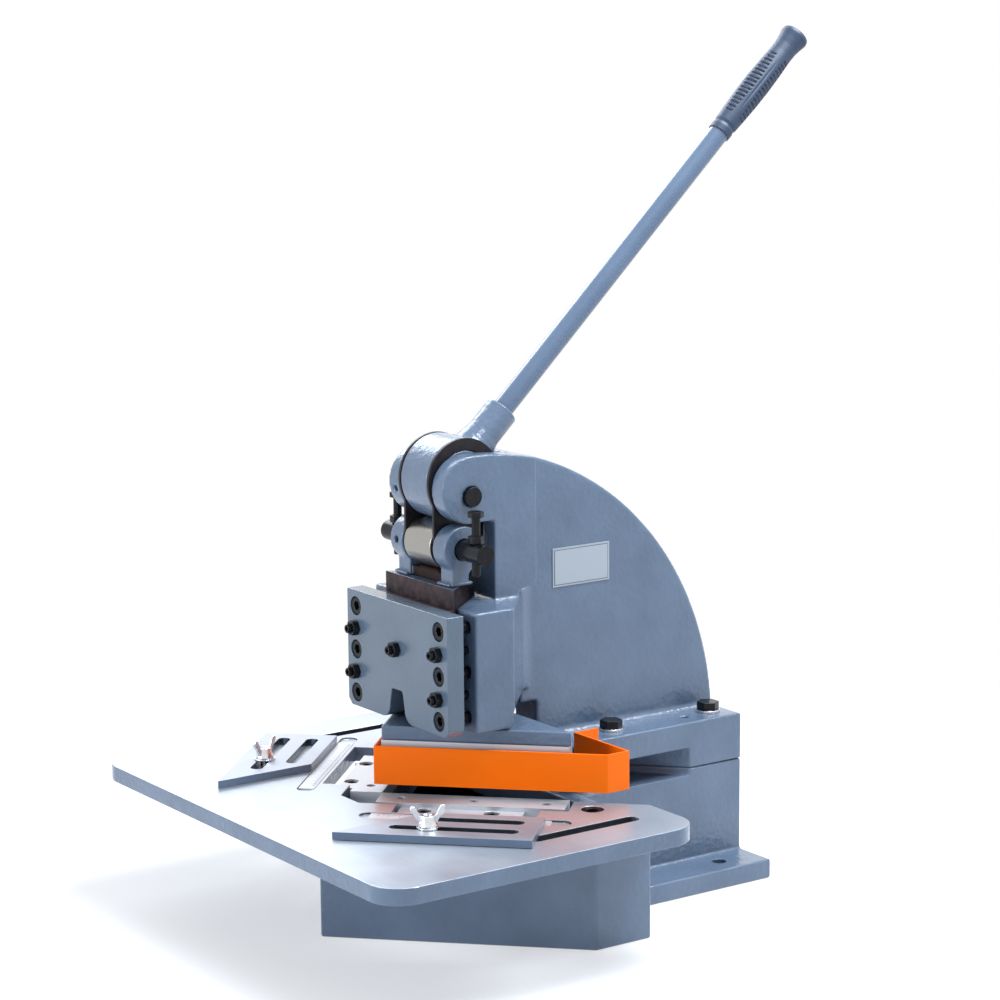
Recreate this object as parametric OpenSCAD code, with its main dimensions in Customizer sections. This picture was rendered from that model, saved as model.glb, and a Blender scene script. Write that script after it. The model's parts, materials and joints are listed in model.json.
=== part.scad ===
// Hand-lever corner notcher: a V punch shears a square corner out of sheet metal.
// Millimetres. The origin is the centre of the four bench bolt holes on the underside.
// +Z is up, -Y is the operator's side and X runs along the table.

/* [Base casting] */
// Width of the rear block and of the foot that stands on it
block_w = 121; // [110:1:130]
// Rear face of the block, behind the bench bolt centre
block_rear_y = 109; // [98:0.5:116]
// Height of the machined joint face that carries the table and the frame
joint_z = 110; // [95:1:125]
// Width of the bench flange
flange_w = 214; // [200:1:240]
// Thickness of the bench flange
flange_t = 19; // [12:1:26]
// Bench bolt spacing across the flange
bench_bolt_x = 166; // [160:1:176]
// Bench bolt spacing front to back
bench_bolt_y = 127; // [110:1:140]
// Bench bolt hole diameter
bench_hole_d = 14; // [9:1:18]
// Width of the V-fronted box under the table
box_w = 360; // [330:2:400]
// Rear wall of the box
box_rear_y = -94; // [-100:1:-88]
// Wall thickness of the hollow box
box_wall_t = 14; // [9:1:20]
// Thickness of the ledge that carries the dies
ledge_t = 30; // [24:1:40]
// Depth of the throat floor below the joint face
throat_drop = 7; // [4:1:12]

/* [Work table] */
// Width of the table
table_w = 510; // [480:2:560]
// Front edge of the table
table_front_y = -424; // [-440:1:-405]
// Rear edge of the two wings
table_rear_y = -94; // [-98:1:-86]
// Thickness of the table
table_t = 15; // [12:1:20]
// Radius of the front corners
table_front_r = 30; // [16:1:44]
// Radius of the rear corners
table_rear_r = 30; // [10:1:36]
// Distance of each accessory slot from the centre
side_slot_x = 203; // [200:1:212]
// Width of the accessory slots
side_slot_w = 14; // [10:1:18]
// Length of the accessory slots
side_slot_l = 117; // [80:1:130]

/* [Lower dies] */
// Inner corner where the two cutting edges meet
cut_y = -267.3; // [-269:0.1:-266]
// Length of each lower blade
blade_l = 174; // [168:1:178]
// Width of each lower blade
blade_w = 30; // [24:1:34]
// Height of each lower blade
blade_h = 9; // [7:0.5:11]
// Width of the holder's flange beside the blade
flange_reach = 18; // [16:0.5:18.3]
// Length of the holder's flange
die_flange_l = 114; // [104:1:124]
// Height of the holder's flange
die_flange_h = 11; // [9:0.5:12]

/* [Scale strips and stops] */
// Length of each scale strip
strip_l = 164; // [140:1:176]
// Width of each scale strip
strip_w = 15; // [12:0.5:15.6]
// Thickness of each scale strip
strip_t = 1.6; // [1:0.1:1.8]
// Width of each stop plate across its slots
stop_w = 71.3; // [66:0.1:76]
// Thickness of each stop plate
stop_t = 7.2; // [5:0.2:8.4]
// Width of the slots in the stop plates
stop_slot_w = 11.5; // [9:0.5:13]
// Diameter of the clamp studs
stud_d = 8; // [6:1:8]

/* [Frame casting] */
// Thickness of the curved web
web_t = 36; // [30:1:40]
// Radius of the web's curved back
web_r = 299; // [290:1:305]
// Height of the foot
foot_h = 45; // [38:1:52]
// Front edge of the foot
foot_front_y = -112; // [-116:1:-108]
// Height of the slot under the foot, where the sheet passes
throat_h = 20; // [16:1:26]
// Width over the head
head_w = 90; // [84:1:96]
// Radius of the nose of each cheek
nose_r = 31; // [28:0.5:33]
// Width over the ram housing
housing_w = 168; // [160:1:176]
// Underside of the ram housing
housing_z = 190; // [188:1:194]
// Height of the ram housing
housing_h = 110.8; // [106:0.1:116]
// Width of the housing's walls beside the ram
housing_wall_w = 27; // [24:0.5:30]

/* [Cover plate] */
// Thickness of the cover plate
cover_t = 18; // [14:1:20]
// Height of the cover plate
cover_h = 111; // [104:1:112]
// Gap between the cover plate and the housing, set by the jack screws
cover_gap = 13; // [11:0.5:15]
// Thickness of the gib plate that bears on the ram
gib_t = 7.8; // [6:0.1:8.5]

/* [Ram and roller] */
// Depth of the ram from front to back
ram_d = 43; // [36:1:46]
// Width of the ram at its rear, where its slanted sides end
ram_rear_w = 40; // [30:1:60]
// Height of the ram block above its V foot
ram_h = 130; // [124:0.1:134]
// Thickness of the V foot
v_foot_t = 13.4; // [9:0.1:15]
// Height of the upper blades at their inner corner
upper_blade_h = 38; // [34:1:39]
// Thickness of the upper blades
upper_blade_t = 15; // [12:1:18]
// Rise of the cutting edges from the corner to the ends
shear_rise = 4; // [2:0.5:5]
// Diameter of the roller
roller_d = 43; // [38:0.5:44]
// Diameter of the cross pin that carries the roller
roller_pin_d = 19; // [16:0.5:20]
// Radius of the ears around the cross pin
ear_r = 21.3; // [19:0.1:22.5]
// Length of the cross pin
roller_pin_l = 160; // [154:1:164]

/* [Lever] */
// Distance from the pivot to the centre of the drum, along Y
throw_y = 6; // [5:0.1:7]
// Distance from the pivot to the centre of the drum, along Z
throw_z = 11; // [10:0.1:11.5]
// Swing of the lever from rest to the end of the cut
lever_swing = 140; // [130:1:145]
// Angle of the lever at rest above the horizontal
lever_angle = 43.7; // [42:0.1:48]
// Diameter of the lever's rod
rod_d = 20; // [18:0.5:21]
// Distance from the drum centre to the tip of the grip
lever_l = 568; // [500:1:620]
// Diameter of the socket
socket_d = 32; // [29:0.5:34]
// Length of the hand grip
grip_l = 132; // [115:1:145]
// Diameter of the hand grip
grip_d = 28.5; // [28:0.5:34]
// Diameter of the pivot pin
pivot_d = 18; // [15:0.5:19]

/* [Guard] */
// Height of the guard strip
guard_h = 36; // [30:1:40]
// Thickness of the guard strip
guard_t = 2; // [1.5:0.1:2.6]
// Gap under the guard, over the table
guard_gap = 9.5; // [8:0.5:12]

/* [Hidden] */
$fn = 64;

// Shared running clearances, the overrun of every cut and the bite of every blend into its walls
run_gap = 0.05;
seat_gap = 0.3;
over = 1;
half = 0.5;
blend_bite = 0.3;
diag = sqrt(2);

// Derived heights of the table stack
table_z = joint_z + table_t;
blade_z = table_z - blade_h;
stop_lift = 0.2;
stop_z = table_z + stop_lift;

// Offsets across a wing, measured outwards from its cutting edge, and along it from the corner
blade_start = 0.6;
blade_end = blade_start + blade_l;
die_flange_out = blade_w + flange_reach;
ledge_gap = 0.5;
ledge_out = die_flange_out + ledge_gap;
box_front_y = cut_y - ledge_out * diag;
chute_out = 3;
holder_relief = 2;
blade_side_gap = 5;
blade_end_gap = 4;
table_cut_out = blade_w + blade_side_gap;
table_cut_end = blade_end + blade_end_gap;
table_edge_out = 3.5;
table_nose_cut = 15;
table_nose_y = cut_y - table_cut_out * diag + table_nose_cut;
pocket_gap = 13;
pocket_out = die_flange_out + pocket_gap;
pocket_start = 22;
pocket_end_gap = 17;
pocket_end = pocket_start + die_flange_l + pocket_end_gap;
die_flange_start = pocket_start + holder_relief;
strip_gap = 0.5;
strip_lift = 0.4;
strip_land = 4.2;
strip_out = pocket_out + strip_land;
strip_start = 4.5;
strip_slot_start = -4.5;
strip_slot_end = 187;
strip_slot_w = strip_w + strip_gap * 2;
strip_slot_t = strip_t + strip_lift;

// Stop plates: where they start, their two slots and the stud in the front one
stop_land = 1;
stop_in = strip_out + strip_w + stop_land;
slot_offsets = [20, 47.8];
rear_slot = [60, 150, stop_in + slot_offsets[0]];
front_slot = [35, 149.5, stop_in + slot_offsets[1]];
stud_at = [69.5, front_slot[2]];

// Screws: metric sizes with their usual heads
m6 = 6;
m8 = 8;
m10 = 10;
m12 = 12;
socket_head_share = 1.6;
socket_key_share = 0.8;
bore_gap = 0.1;

// Frame side view
web_centre_y = -192;
pivot_z = 399.5;
nose_y = -195;
nose_lift = 5.8;
nose_z = pivot_z + nose_lift;
web_centre_z = nose_z + nose_r - web_r;
foot_z = joint_z + foot_h;
head_front_y = -170;
head_rear_y = -123;
head_bottom_z = 306;
head_slope = 6.6;
head_step = 19;
cheek_bottom_z = nose_z - nose_r + ledge_gap;
web_front_y = -105;
housing_front_y = -218.3;
housing_rear_y = -176.5;
housing_join_y = -119.8;
housing_blend_r = 30;
housing_top_z = housing_z + housing_h;
housing_under_z = housing_z + 15;
housing_under_r = 6;
foot_fillet_r = 8;
ram_w = housing_w - housing_wall_w * 2;
ram_side_gap = 0.2;
slot_w = 50.6;

// Lever pivot, drum and the linkage that carries the ram
pivot_y = -195;
drum_y = pivot_y + throw_y;
drum_z = pivot_z + throw_z;
roller_y = -204;
roller_drop = 59;
roller_z = drum_z - roller_drop;
roller_r = roller_d * half;
link_l = norm([drum_y - roller_y, drum_z - roller_z]);
drum_r = link_l - roller_r - seat_gap;
drum_w = 43;
link_t = 3;
link_gap = (slot_w * half - drum_w * half - link_t) * half;
throw_r = norm([throw_y, throw_z]);
throw_angle = atan2(throw_z, throw_y);
end_y = pivot_y + throw_r * cos(throw_angle + lever_swing);
end_z = pivot_z + throw_r * sin(throw_angle + lever_swing);
stroke = roller_z - end_z + sqrt(link_l * link_l - (end_y - roller_y) * (end_y - roller_y));
link_turn = atan2(drum_y - roller_y, drum_z - roller_z)
    - atan2(end_y - roller_y, stroke - roller_z + end_z);

// Way that the cross pin moves in the eye of a link, furthest at half swing
function turned(v, a) = [v[0] * cos(a) - v[1] * sin(a), v[0] * sin(a) + v[1] * cos(a)];
function drum_at(s) = [pivot_y, pivot_z] + turned([throw_y, throw_z], lever_swing * s);
function pin_in_link(s) = turned([roller_y, roller_z - stroke * s] - drum_at(s), -link_turn * s)
    - [roller_y - drum_y, roller_z - drum_z];
link_slot = pin_in_link(half);

// Cover and gib plates, and the ram behind them with its slanted sides
cover_back_y = housing_front_y - cover_gap;
cover_front_y = cover_back_y - cover_t;
ram_front_y = cover_back_y + gib_t + ram_side_gap;
ram_rear_y = ram_front_y + ram_d;
ram_slant = (ram_w - ram_rear_w) * half / ram_d;
v_gap = 1.6;
v_top_z = housing_z - v_gap;
v_bottom_z = v_top_z - v_foot_t;
upper_blade_z = v_bottom_z - upper_blade_h;
ram_top_z = v_top_z + ram_h;
ear_in = slot_w * half;
ear_out = head_w * half;
punch_gap = 0.15;

echo(stroke = stroke, link_turn = link_turn, drum_r = drum_r, link_l = link_l,
    pivot = [pivot_y, pivot_z], drum = [drum_y, drum_z], roller = [roller_y, roller_z]);

// Places its children on both sides of the centre plane
module both_sides() {
    children();
    mirror([1, 0, 0]) children();
}

// Right wing: x runs along the cutting edge from the corner, -y points outwards from it
module on_wing(side) {
    mirror([side < 0 ? 1 : 0, 0, 0])
        translate([0, cut_y, 0]) rotate(45) children();
}

// A bar in wing coordinates, from start to end along the edge and between two offsets
module wing_bar(start, end, inner, outer, z, h) {
    translate([start, -outer, z]) cube([end - start, outer - inner, h]);
}

// A slot with round ends in wing coordinates
module wing_slot(start, end, middle, width, z, h) {
    r = width * half;
    translate([0, -middle, z]) linear_extrude(h) {
        translate([start + r, -r]) square([end - start - width, width]);
        for (x = [start + r, end - r]) translate([x, 0]) circle(r);
    }
}

// Extrudes a side view, drawn as y and z, to the given width across the centre plane
module side_extrude(width) {
    rotate([90, 0, 90]) translate([0, 0, -width * half]) linear_extrude(width) children();
}

// A cylinder across the machine, centred on x
module cross_bar(r, length, y, z, x = 0) {
    translate([x - length * half, y, z]) rotate([0, 90, 0]) cylinder(r = r, h = length);
}

// Socket head cap screw that points down from the seat of its head
module cap_screw(d, length, head_h) {
    r = d * half;
    head_r = r * socket_head_share;
    difference() {
        union() {
            cylinder(r = head_r, h = head_h);
            translate([0, 0, -length]) cylinder(r = r, h = length + over);
        }
        translate([0, 0, head_h * half])
            cylinder(r = r * socket_key_share / cos(30), h = head_h, $fn = 6);
    }
}

// Headless set screw with a hexagon socket at its top end
module set_screw(d, length) {
    r = d * half;
    difference() {
        translate([0, 0, -length]) cylinder(r = r, h = length);
        translate([0, 0, -r]) cylinder(r = r * half / cos(30), h = r + over, $fn = 6);
    }
}

// Hexagon by its width across the flats
module hex_prism(flats, h) {
    cylinder(r = flats * half / cos(30), h = h, $fn = 6);
}

// Sizes of the base's bolts and holes
base_bolt_depth = 34;
throat_side_y = 45.5;
throat_v_y = throat_side_y - block_w * half;
frame_bolt_d = m12;
frame_bolt_x = 36;
frame_bolt_ys = [-31, 87];
frame_bolt_in = 30;
frame_bolt_l = foot_h + frame_bolt_in;
bolt_pad_d = 26;
pin_d = 8;
pin_x = 39;
pin_y = 55;
pin_l = 60;
table_screw_at = [199, 25];
die_clamp_ts = [47, 109.3];
die_clamp_out = blade_w + flange_reach * half;
clamp_len = 24;
box_side_y = box_front_y + box_w * half;

module box_outline(inset) {
    w = box_w * half - inset;
    rear = box_rear_y - inset;
    side = box_side_y + inset * (diag - 1);
    front = box_front_y + inset * diag;
    polygon([[-w, rear], [-w, side], [0, front], [w, side], [w, rear]]);
}

// Plan of the opening that lets the cut corners fall through
chute_inset = 4;
chute_rear_y = box_rear_y - box_wall_t - chute_inset;
module chute_outline() {
    top = cut_y - chute_out * diag;
    w = table_cut_end / diag;
    polygon([[-w, top + w], [0, top], [w, top + w],
        [w - (chute_rear_y - top - w), chute_rear_y], [-w + (chute_rear_y - top - w), chute_rear_y]]);
}

module base_casting() color("lightslategray") {
    throat_z = joint_z - throat_drop;
    difference() {
        union() {
            translate([-block_w * half, box_rear_y - over, 0])
                cube([block_w, block_rear_y - box_rear_y + over, joint_z]);
            translate([-flange_w * half, box_rear_y - over, 0])
                cube([flange_w, block_rear_y - box_rear_y + over, flange_t]);
            linear_extrude(joint_z) box_outline(0);
        }
        // Throat floor, lower than the joint face, with a round pad under each front frame bolt
        translate([0, 0, throat_z]) difference() {
            linear_extrude(throat_drop + over) throat_outline(box_rear_y);
            both_sides() translate([frame_bolt_x, frame_bolt_ys[0], -over])
                cylinder(d = bolt_pad_d, h = throat_drop + over * 3);
        }
        // Hollow of the box, open at the bottom
        translate([0, 0, -over]) linear_extrude(joint_z - ledge_t + over) box_outline(box_wall_t);
        // Chute between the dies
        translate([0, 0, -over]) linear_extrude(joint_z + over * 2) chute_outline();
        // Bench bolt holes
        for (x = [-half, half], y = [-half, half])
            translate([x * bench_bolt_x, y * bench_bolt_y, -over])
                cylinder(d = bench_hole_d, h = flange_t + over * 2);
        // Tapped holes for the frame bolts and bores for the locating pins
        both_sides() {
            for (y = frame_bolt_ys)
                translate([frame_bolt_x, y, joint_z - base_bolt_depth])
                    cylinder(r = frame_bolt_d * half + bore_gap, h = base_bolt_depth + over);
            translate([pin_x, pin_y, foot_z - pin_l])
                cylinder(r = pin_d * half + run_gap, h = pin_l);
        }
        for (side = [-1, 1]) on_wing(side) {
            translate([table_screw_at[0], -table_screw_at[1], joint_z - clamp_len])
                cylinder(r = m12 * half + bore_gap, h = clamp_len + over);
            for (t = die_clamp_ts) translate([t, -die_clamp_out, joint_z - clamp_len])
                cylinder(r = m8 * half + bore_gap, h = clamp_len + over);
        }
    }
}

module work_table() color("gainsboro") {
    edge = table_edge_out * diag;
    wing = (table_rear_y - cut_y + edge);
    difference() {
        translate([0, 0, joint_z]) linear_extrude(table_t) difference() {
            table_outline();
            // V notch between the wings
            polygon([[0, cut_y - edge], [wing + over, table_rear_y + over],
                [-wing - over, table_rear_y + over]]);
            // Band that takes the lower blades, cut off square at its corner
            intersection() {
                translate([0, cut_y - table_cut_out * diag])
                    polygon([[0, 0], [table_w, table_w], [-table_w, table_w]]);
                translate([0, cut_y]) rotate(45)
                    square([table_cut_end * 2, table_cut_end * 2], center = true);
                translate([-table_w, table_nose_y]) square([table_w * 2, table_w]);
            }
        }
        for (side = [-1, 1]) on_wing(side) {
            wing_bar(pocket_start, pocket_end, blade_w, pocket_out, joint_z - over, table_t + over * 2);
            wing_slot(strip_slot_start, strip_slot_end, strip_out + strip_w * half, strip_slot_w,
                table_z - strip_slot_t, strip_slot_t + over);
            translate([table_screw_at[0], -table_screw_at[1], 0]) {
                translate([0, 0, joint_z - over])
                    cylinder(r = m12 * half + seat_gap, h = table_t + over * 2);
                translate([0, 0, table_z - table_screw_depth])
                    cylinder(d = table_screw_bore, h = table_screw_depth + over);
            }
            translate([stud_at[0], -stud_at[1], joint_z - over])
                cylinder(r = stud_d * half + run_gap, h = table_t + over * 2);
        }
        both_sides() translate([side_slot_x, side_slot_rear_y - side_slot_l, joint_z - over])
            linear_extrude(table_t + over * 2) {
                r = side_slot_w * half;
                translate([-r, r]) square([side_slot_w, side_slot_l - side_slot_w]);
                for (y = [r, side_slot_l - r]) translate([0, y]) circle(r);
            }
    }
}
side_slot_rear_y = -128;
table_screw_depth = 12;
table_screw_bore = 20.5;

module table_outline() {
    w = table_w * half;
    fr = table_front_r;
    rr = table_rear_r;
    translate([-w, table_front_y + fr]) square([table_w, table_rear_y - table_front_y - fr - rr]);
    translate([-w + fr, table_front_y]) square([table_w - fr * 2, fr]);
    translate([-w + rr, table_rear_y - rr]) square([table_w - rr * 2, rr]);
    for (x = [-1, 1]) {
        translate([x * (w - fr), table_front_y + fr]) circle(fr);
        translate([x * (w - rr), table_rear_y - rr]) circle(rr);
    }
}

module table_screws() color("dimgray")
    for (side = [-1, 1]) on_wing(side)
        translate([table_screw_at[0], -table_screw_at[1], table_z - table_screw_depth])
            cap_screw(m12, clamp_len + table_t - table_screw_depth - over, table_screw_depth - over);

module scale_strip(side) color("whitesmoke") on_wing(side)
    wing_bar(strip_start, strip_start + strip_l, strip_out, strip_out + strip_w,
        table_z - strip_slot_t, strip_t);

// L-shaped holder: thin under the blade, thicker in the flange beside it
module die_holder(side) color("silver") {
    seat_h = blade_z - joint_z;
    difference() {
        on_wing(side) {
            wing_bar(blade_start, blade_end, holder_relief, blade_w, joint_z, seat_h);
            wing_bar(die_flange_start, die_flange_start + die_flange_l, blade_w - over,
                blade_w + seat_gap, joint_z, seat_h);
            wing_bar(die_flange_start, die_flange_start + die_flange_l, blade_w + seat_gap * half,
                die_flange_out, joint_z, die_flange_h);
        }
        on_wing(side) {
            for (t = die_clamp_ts) translate([t, -die_clamp_out, joint_z]) {
                translate([0, 0, -over]) cylinder(r = m8 * half + seat_gap, h = die_flange_h + over * 2);
                translate([0, 0, die_flange_h - die_screw_depth])
                    cylinder(d = die_screw_bore, h = die_screw_depth + over);
            }
            for (t = blade_screw_ts) translate([t, -blade_w * half, joint_z - over])
                cylinder(r = m8 * half + bore_gap, h = seat_h + over * 2);
            for (t = adjuster_ts)
                translate([t, -die_flange_out + adjuster_in, joint_z + die_flange_h * half])
                    rotate([90, 0, 0]) cylinder(r = m6 * half + bore_gap, h = adjuster_in + over);
        }
    }
}
die_screw_depth = 6;
die_screw_bore = 14.4;
adjuster_in = 7;
adjuster_out = 6;
adjuster_ts = [30, 125];
blade_screw_ts = [21.5, 89, 156.1];

module lower_blade(side) color("lightgray") difference() {
    on_wing(side) wing_bar(blade_start, blade_end, 0, blade_w, blade_z, blade_h);
    on_wing(side) for (t = blade_screw_ts) translate([t, -blade_w * half, blade_z - over])
        cylinder(r = m8 * half + bore_gap, h = blade_h + over * 2);
}

module blade_screws() color("dimgray")
    for (side = [-1, 1]) on_wing(side) for (t = blade_screw_ts)
        translate([t, -blade_w * half, table_z - blade_screw_sink])
            set_screw(m8, table_z - blade_screw_sink - joint_z - seat_gap);
blade_screw_sink = 2.5;

module die_clamp_screws() color("dimgray")
    for (side = [-1, 1]) on_wing(side) for (t = die_clamp_ts)
        translate([t, -die_clamp_out, joint_z + die_flange_h - die_screw_depth])
            cap_screw(m8, clamp_len, die_screw_depth - over);

module die_adjusting_screws() color("silver")
    for (side = [-1, 1]) on_wing(side) for (t = adjuster_ts)
        translate([t, -die_flange_out - adjuster_out, joint_z + die_flange_h * half])
            rotate([90, 0, 0]) set_screw(m6, adjuster_in + adjuster_out - seat_gap);

// Side view of the web, head and cheeks: the curved back runs over the head to the nose
module frame_profile() {
    difference() {
        translate([web_centre_y, web_centre_z]) circle(web_r, $fn = 128);
        translate([web_centre_y - web_r - over, web_centre_z - web_r - over])
            square([(web_r + over) * 2, web_r + foot_z - web_centre_z]);
        translate([nose_y - web_r - over, 0]) square([web_r + over, web_centre_z + web_r + over]);
    }
}

// Plan of the throat, closed at the rear by a V that stops the corner of the sheet
module throat_outline(front_y) {
    w = block_w * half + over;
    polygon([[-w, front_y], [w, front_y], [w, throat_side_y + over], [0, throat_v_y],
        [-w, throat_side_y + over]]);
}

module frame_casting() color("lightslategray") {
    difference() {
        union() {
            // Foot
            translate([-block_w * half, foot_front_y, joint_z])
                cube([block_w, block_rear_y - foot_front_y, foot_h]);
            // Bosses on the foot for the guard
            both_sides() translate([0, guard_screw_y - boss_w * half, foot_z - boss_h])
                cube([guard_tab_x - guard_t * half - seat_gap * half, boss_w, boss_h]);
            // Web
            side_extrude(web_t) intersection() {
                frame_profile();
                polygon([[web_front_y, foot_z - over], [web_front_y, housing_z + over],
                    [head_rear_y - over, housing_z + over], [head_rear_y - over, web_centre_z + web_r],
                    [block_rear_y + over, web_centre_z + web_r], [block_rear_y + over, foot_z - over]]);
            }
            // Head behind the ram
            side_extrude(head_w) intersection() {
                frame_profile();
                polygon([[head_front_y, housing_top_z - over], [head_front_y, web_centre_z + web_r + over],
                    [head_rear_y, web_centre_z + web_r + over], [head_rear_y, head_bottom_z + head_slope],
                    [head_rear_y - head_step, head_bottom_z],
                    [head_rear_y - head_step, housing_top_z - over]]);
            }
            // Cheeks, with a round nose over the ram
            side_extrude(head_w) {
                translate([nose_y, nose_z - blend_bite]) circle(nose_r);
                intersection() {
                    frame_profile();
                    translate([nose_y, cheek_bottom_z])
                        square([head_front_y - nose_y + over, nose_r * 3]);
                }
            }
            // Ram housing, drawn in at the rear to meet the web
            difference() {
                translate([0, 0, housing_z]) linear_extrude(housing_h) both_sides() housing_outline();
                housing_underside();
            }
            // Fillets between the web and the foot
            both_sides() translate([web_t * half, foot_fillet_end, foot_z]) rotate([90, 0, 0])
                linear_extrude(foot_fillet_end - web_front_y) difference() {
                    translate([-over, -over]) square([foot_fillet_r + over, foot_fillet_r + over]);
                    translate([foot_fillet_r, foot_fillet_r]) circle(foot_fillet_r + blend_bite);
                }
        }
        // Throat for the sheet, with a round pad on each front frame bolt
        translate([0, 0, joint_z - over]) difference() {
            linear_extrude(throat_h + over) throat_outline(foot_front_y - over);
            both_sides() translate([frame_bolt_x, frame_bolt_ys[0], over])
                cylinder(d = bolt_pad_d, h = throat_h);
        }
        // Ram way, with slanted sides
        translate([0, 0, housing_z - over]) linear_extrude(housing_h + over * 2)
            ram_outline(ram_side_gap * diag, ram_front_y - over, head_front_y);
        // Gap between the cheeks for the hub and its links
        side_extrude(slot_w) {
            translate([pivot_y, pivot_z]) circle(throw_r + drum_r + drum_room);
            translate([pivot_y - nose_r * 3, pivot_z - nose_r * 2]) square([nose_r * 3, nose_r * 4]);
            translate([drum_y, drum_z]) rotate(lever_angle) translate([0, -socket_d * half - drum_room])
                square([lever_l * half, lever_l]);
        }
        cross_bar(pivot_d * half + run_gap, head_w + over * 2, pivot_y, pivot_z);
        // Set screw that holds the pivot pin in the left cheek
        translate([-cheek_mid_x, nose_y - nose_r - over, pivot_z]) rotate([-90, 0, 0])
            cylinder(r = m6 * half + bore_gap, h = pivot_y - nose_y + nose_r + over);
        both_sides() {
            for (y = frame_bolt_ys) translate([frame_bolt_x, y, joint_z - over])
                cylinder(r = frame_bolt_d * half + seat_gap, h = foot_h + over * 2);
            translate([pin_x, pin_y, foot_z - pin_l])
                cylinder(r = pin_d * half + run_gap, h = pin_l + over);
            for (z = cover_screw_zs) translate([cover_screw_x, housing_front_y - over, z])
                rotate([-90, 0, 0]) cylinder(r = m10 * half + bore_gap, h = cover_screw_in + over);
            translate([guard_tab_x, guard_screw_y, foot_z - boss_h * half]) rotate([0, -90, 0])
                cylinder(r = m6 * half + bore_gap, h = guard_tab_x - block_w * half + boss_screw_in);
        }
    }
}
drum_room = 4;
cheek_mid_x = (slot_w + head_w) * half * half;
cover_screw_in_x = 15;
cover_screw_x = housing_w * half - cover_screw_in_x;
cover_screw_zs = [203.4, 244.7, 286];
cover_screw_in = 30;
fillet_rise = foot_z + foot_fillet_r - web_centre_z;
foot_fillet_end = min(block_rear_y, web_centre_y + sqrt(web_r * web_r - fillet_rise * fillet_rise));

// Plan of one half of the housing: its rear wall slants in and blends into the web
module housing_outline() {
    w = housing_w * half;
    web = web_t * half;
    wall_angle = atan2(housing_join_y - housing_rear_y, web - w);
    reach = housing_blend_r * tan((wall_angle - 90) * half);
    polygon([[-over, housing_front_y], [w, housing_front_y], [w, housing_rear_y], [web, housing_join_y],
        [web, web_front_y + over], [-over, web_front_y + over]]);
    difference() {
        polygon([[web - over, housing_join_y],
            [web, housing_join_y] - [cos(wall_angle), sin(wall_angle)] * reach,
            [web + housing_blend_r, housing_join_y + reach], [web - over, housing_join_y + reach]]);
        translate([web + housing_blend_r, housing_join_y + reach]) circle(housing_blend_r + blend_bite);
    }
}

// Cut under the housing's rear walls, with a round corner below its sides
module housing_underside() side_extrude(housing_w + over * 2) {
    translate([housing_rear_y, housing_z - over])
        square([web_front_y - housing_rear_y, housing_under_z - housing_z + over]);
    difference() {
        translate([housing_rear_y - housing_under_r, housing_z - over])
            square([housing_under_r + over, housing_under_r + over]);
        translate([housing_rear_y - housing_under_r, housing_z + housing_under_r]) circle(housing_under_r);
    }
}

// Plan of the ram between two places along y, wider than the ram by a gap on each side
module ram_outline(gap, front_y, rear_y) {
    w = ram_w * half + gap;
    front = w + ram_slant * (ram_front_y - front_y);
    rear = w - ram_slant * (rear_y - ram_front_y);
    polygon([[-front, front_y], [front, front_y], [rear, rear_y], [-rear, rear_y]]);
}

module frame_bolts() color("dimgray") both_sides() for (y = frame_bolt_ys)
    translate([frame_bolt_x, y, foot_z + washer_t]) {
        hex_prism(bolt_flats, bolt_head_h);
        translate([0, 0, -frame_bolt_l]) cylinder(r = frame_bolt_d * half, h = frame_bolt_l + over);
    }
washer_t = 2.5;
bolt_flats = 19;
bolt_head_h = 7.5;

module frame_washers() color("silver") both_sides() for (y = frame_bolt_ys)
    translate([frame_bolt_x, y, foot_z]) difference() {
        cylinder(r = m12, h = washer_t);
        translate([0, 0, -over]) cylinder(r = frame_bolt_d * half + seat_gap, h = washer_t + over * 2);
    }

module locating_pins() color("gray") both_sides()
    translate([pin_x, pin_y, foot_z - pin_l]) difference() {
        cylinder(r = pin_d * half, h = pin_l - over * 2);
        translate([0, 0, -over]) cylinder(r = pin_d * half * half, h = pin_l + over * 2);
        translate([0, -pin_d * half * half * half, -over])
            cube([pin_d, pin_d * half * half, pin_l + over * 2]);
    }

cover_z = housing_z;
jack_zs = [224, 265.3];
gib_screw_z = 257.5;
m10_head_bore = 18;
m10_head_depth = 10.5;

module cover_plate() color("lightslategray") difference() {
    translate([-housing_w * half, cover_front_y, cover_z]) cube([housing_w, cover_t, cover_h]);
    translate([0, cover_back_y + over, cover_z]) rotate([90, 0, 0])
        linear_extrude(cover_t + over * 2) notch_outline();
    // Chamfered lower corners
    for (x = [-1, 1]) translate([x * housing_w * half, cover_front_y - over, cover_z]) rotate([0, 45, 0])
        translate([-corner_cut * half, 0, -corner_cut * half])
            cube([corner_cut, cover_t + over * 2, corner_cut]);
    both_sides() for (z = cover_screw_zs) translate([cover_screw_x, 0, z]) rotate([-90, 0, 0]) {
        translate([0, 0, cover_front_y - over]) cylinder(d = m10_head_bore, h = m10_head_depth + over);
        translate([0, 0, cover_front_y]) cylinder(r = m10 * half + seat_gap, h = cover_t + over);
    }
    both_sides() for (z = jack_zs) translate([cover_screw_x, cover_front_y - over, z]) rotate([-90, 0, 0])
        cylinder(r = m8 * half + bore_gap, h = cover_t + over * 2);
    translate([0, cover_front_y - over, gib_screw_z]) rotate([-90, 0, 0])
        cylinder(r = m8 * half + bore_gap, h = cover_t + over * 2);
}
corner_cut = 8;

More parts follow.
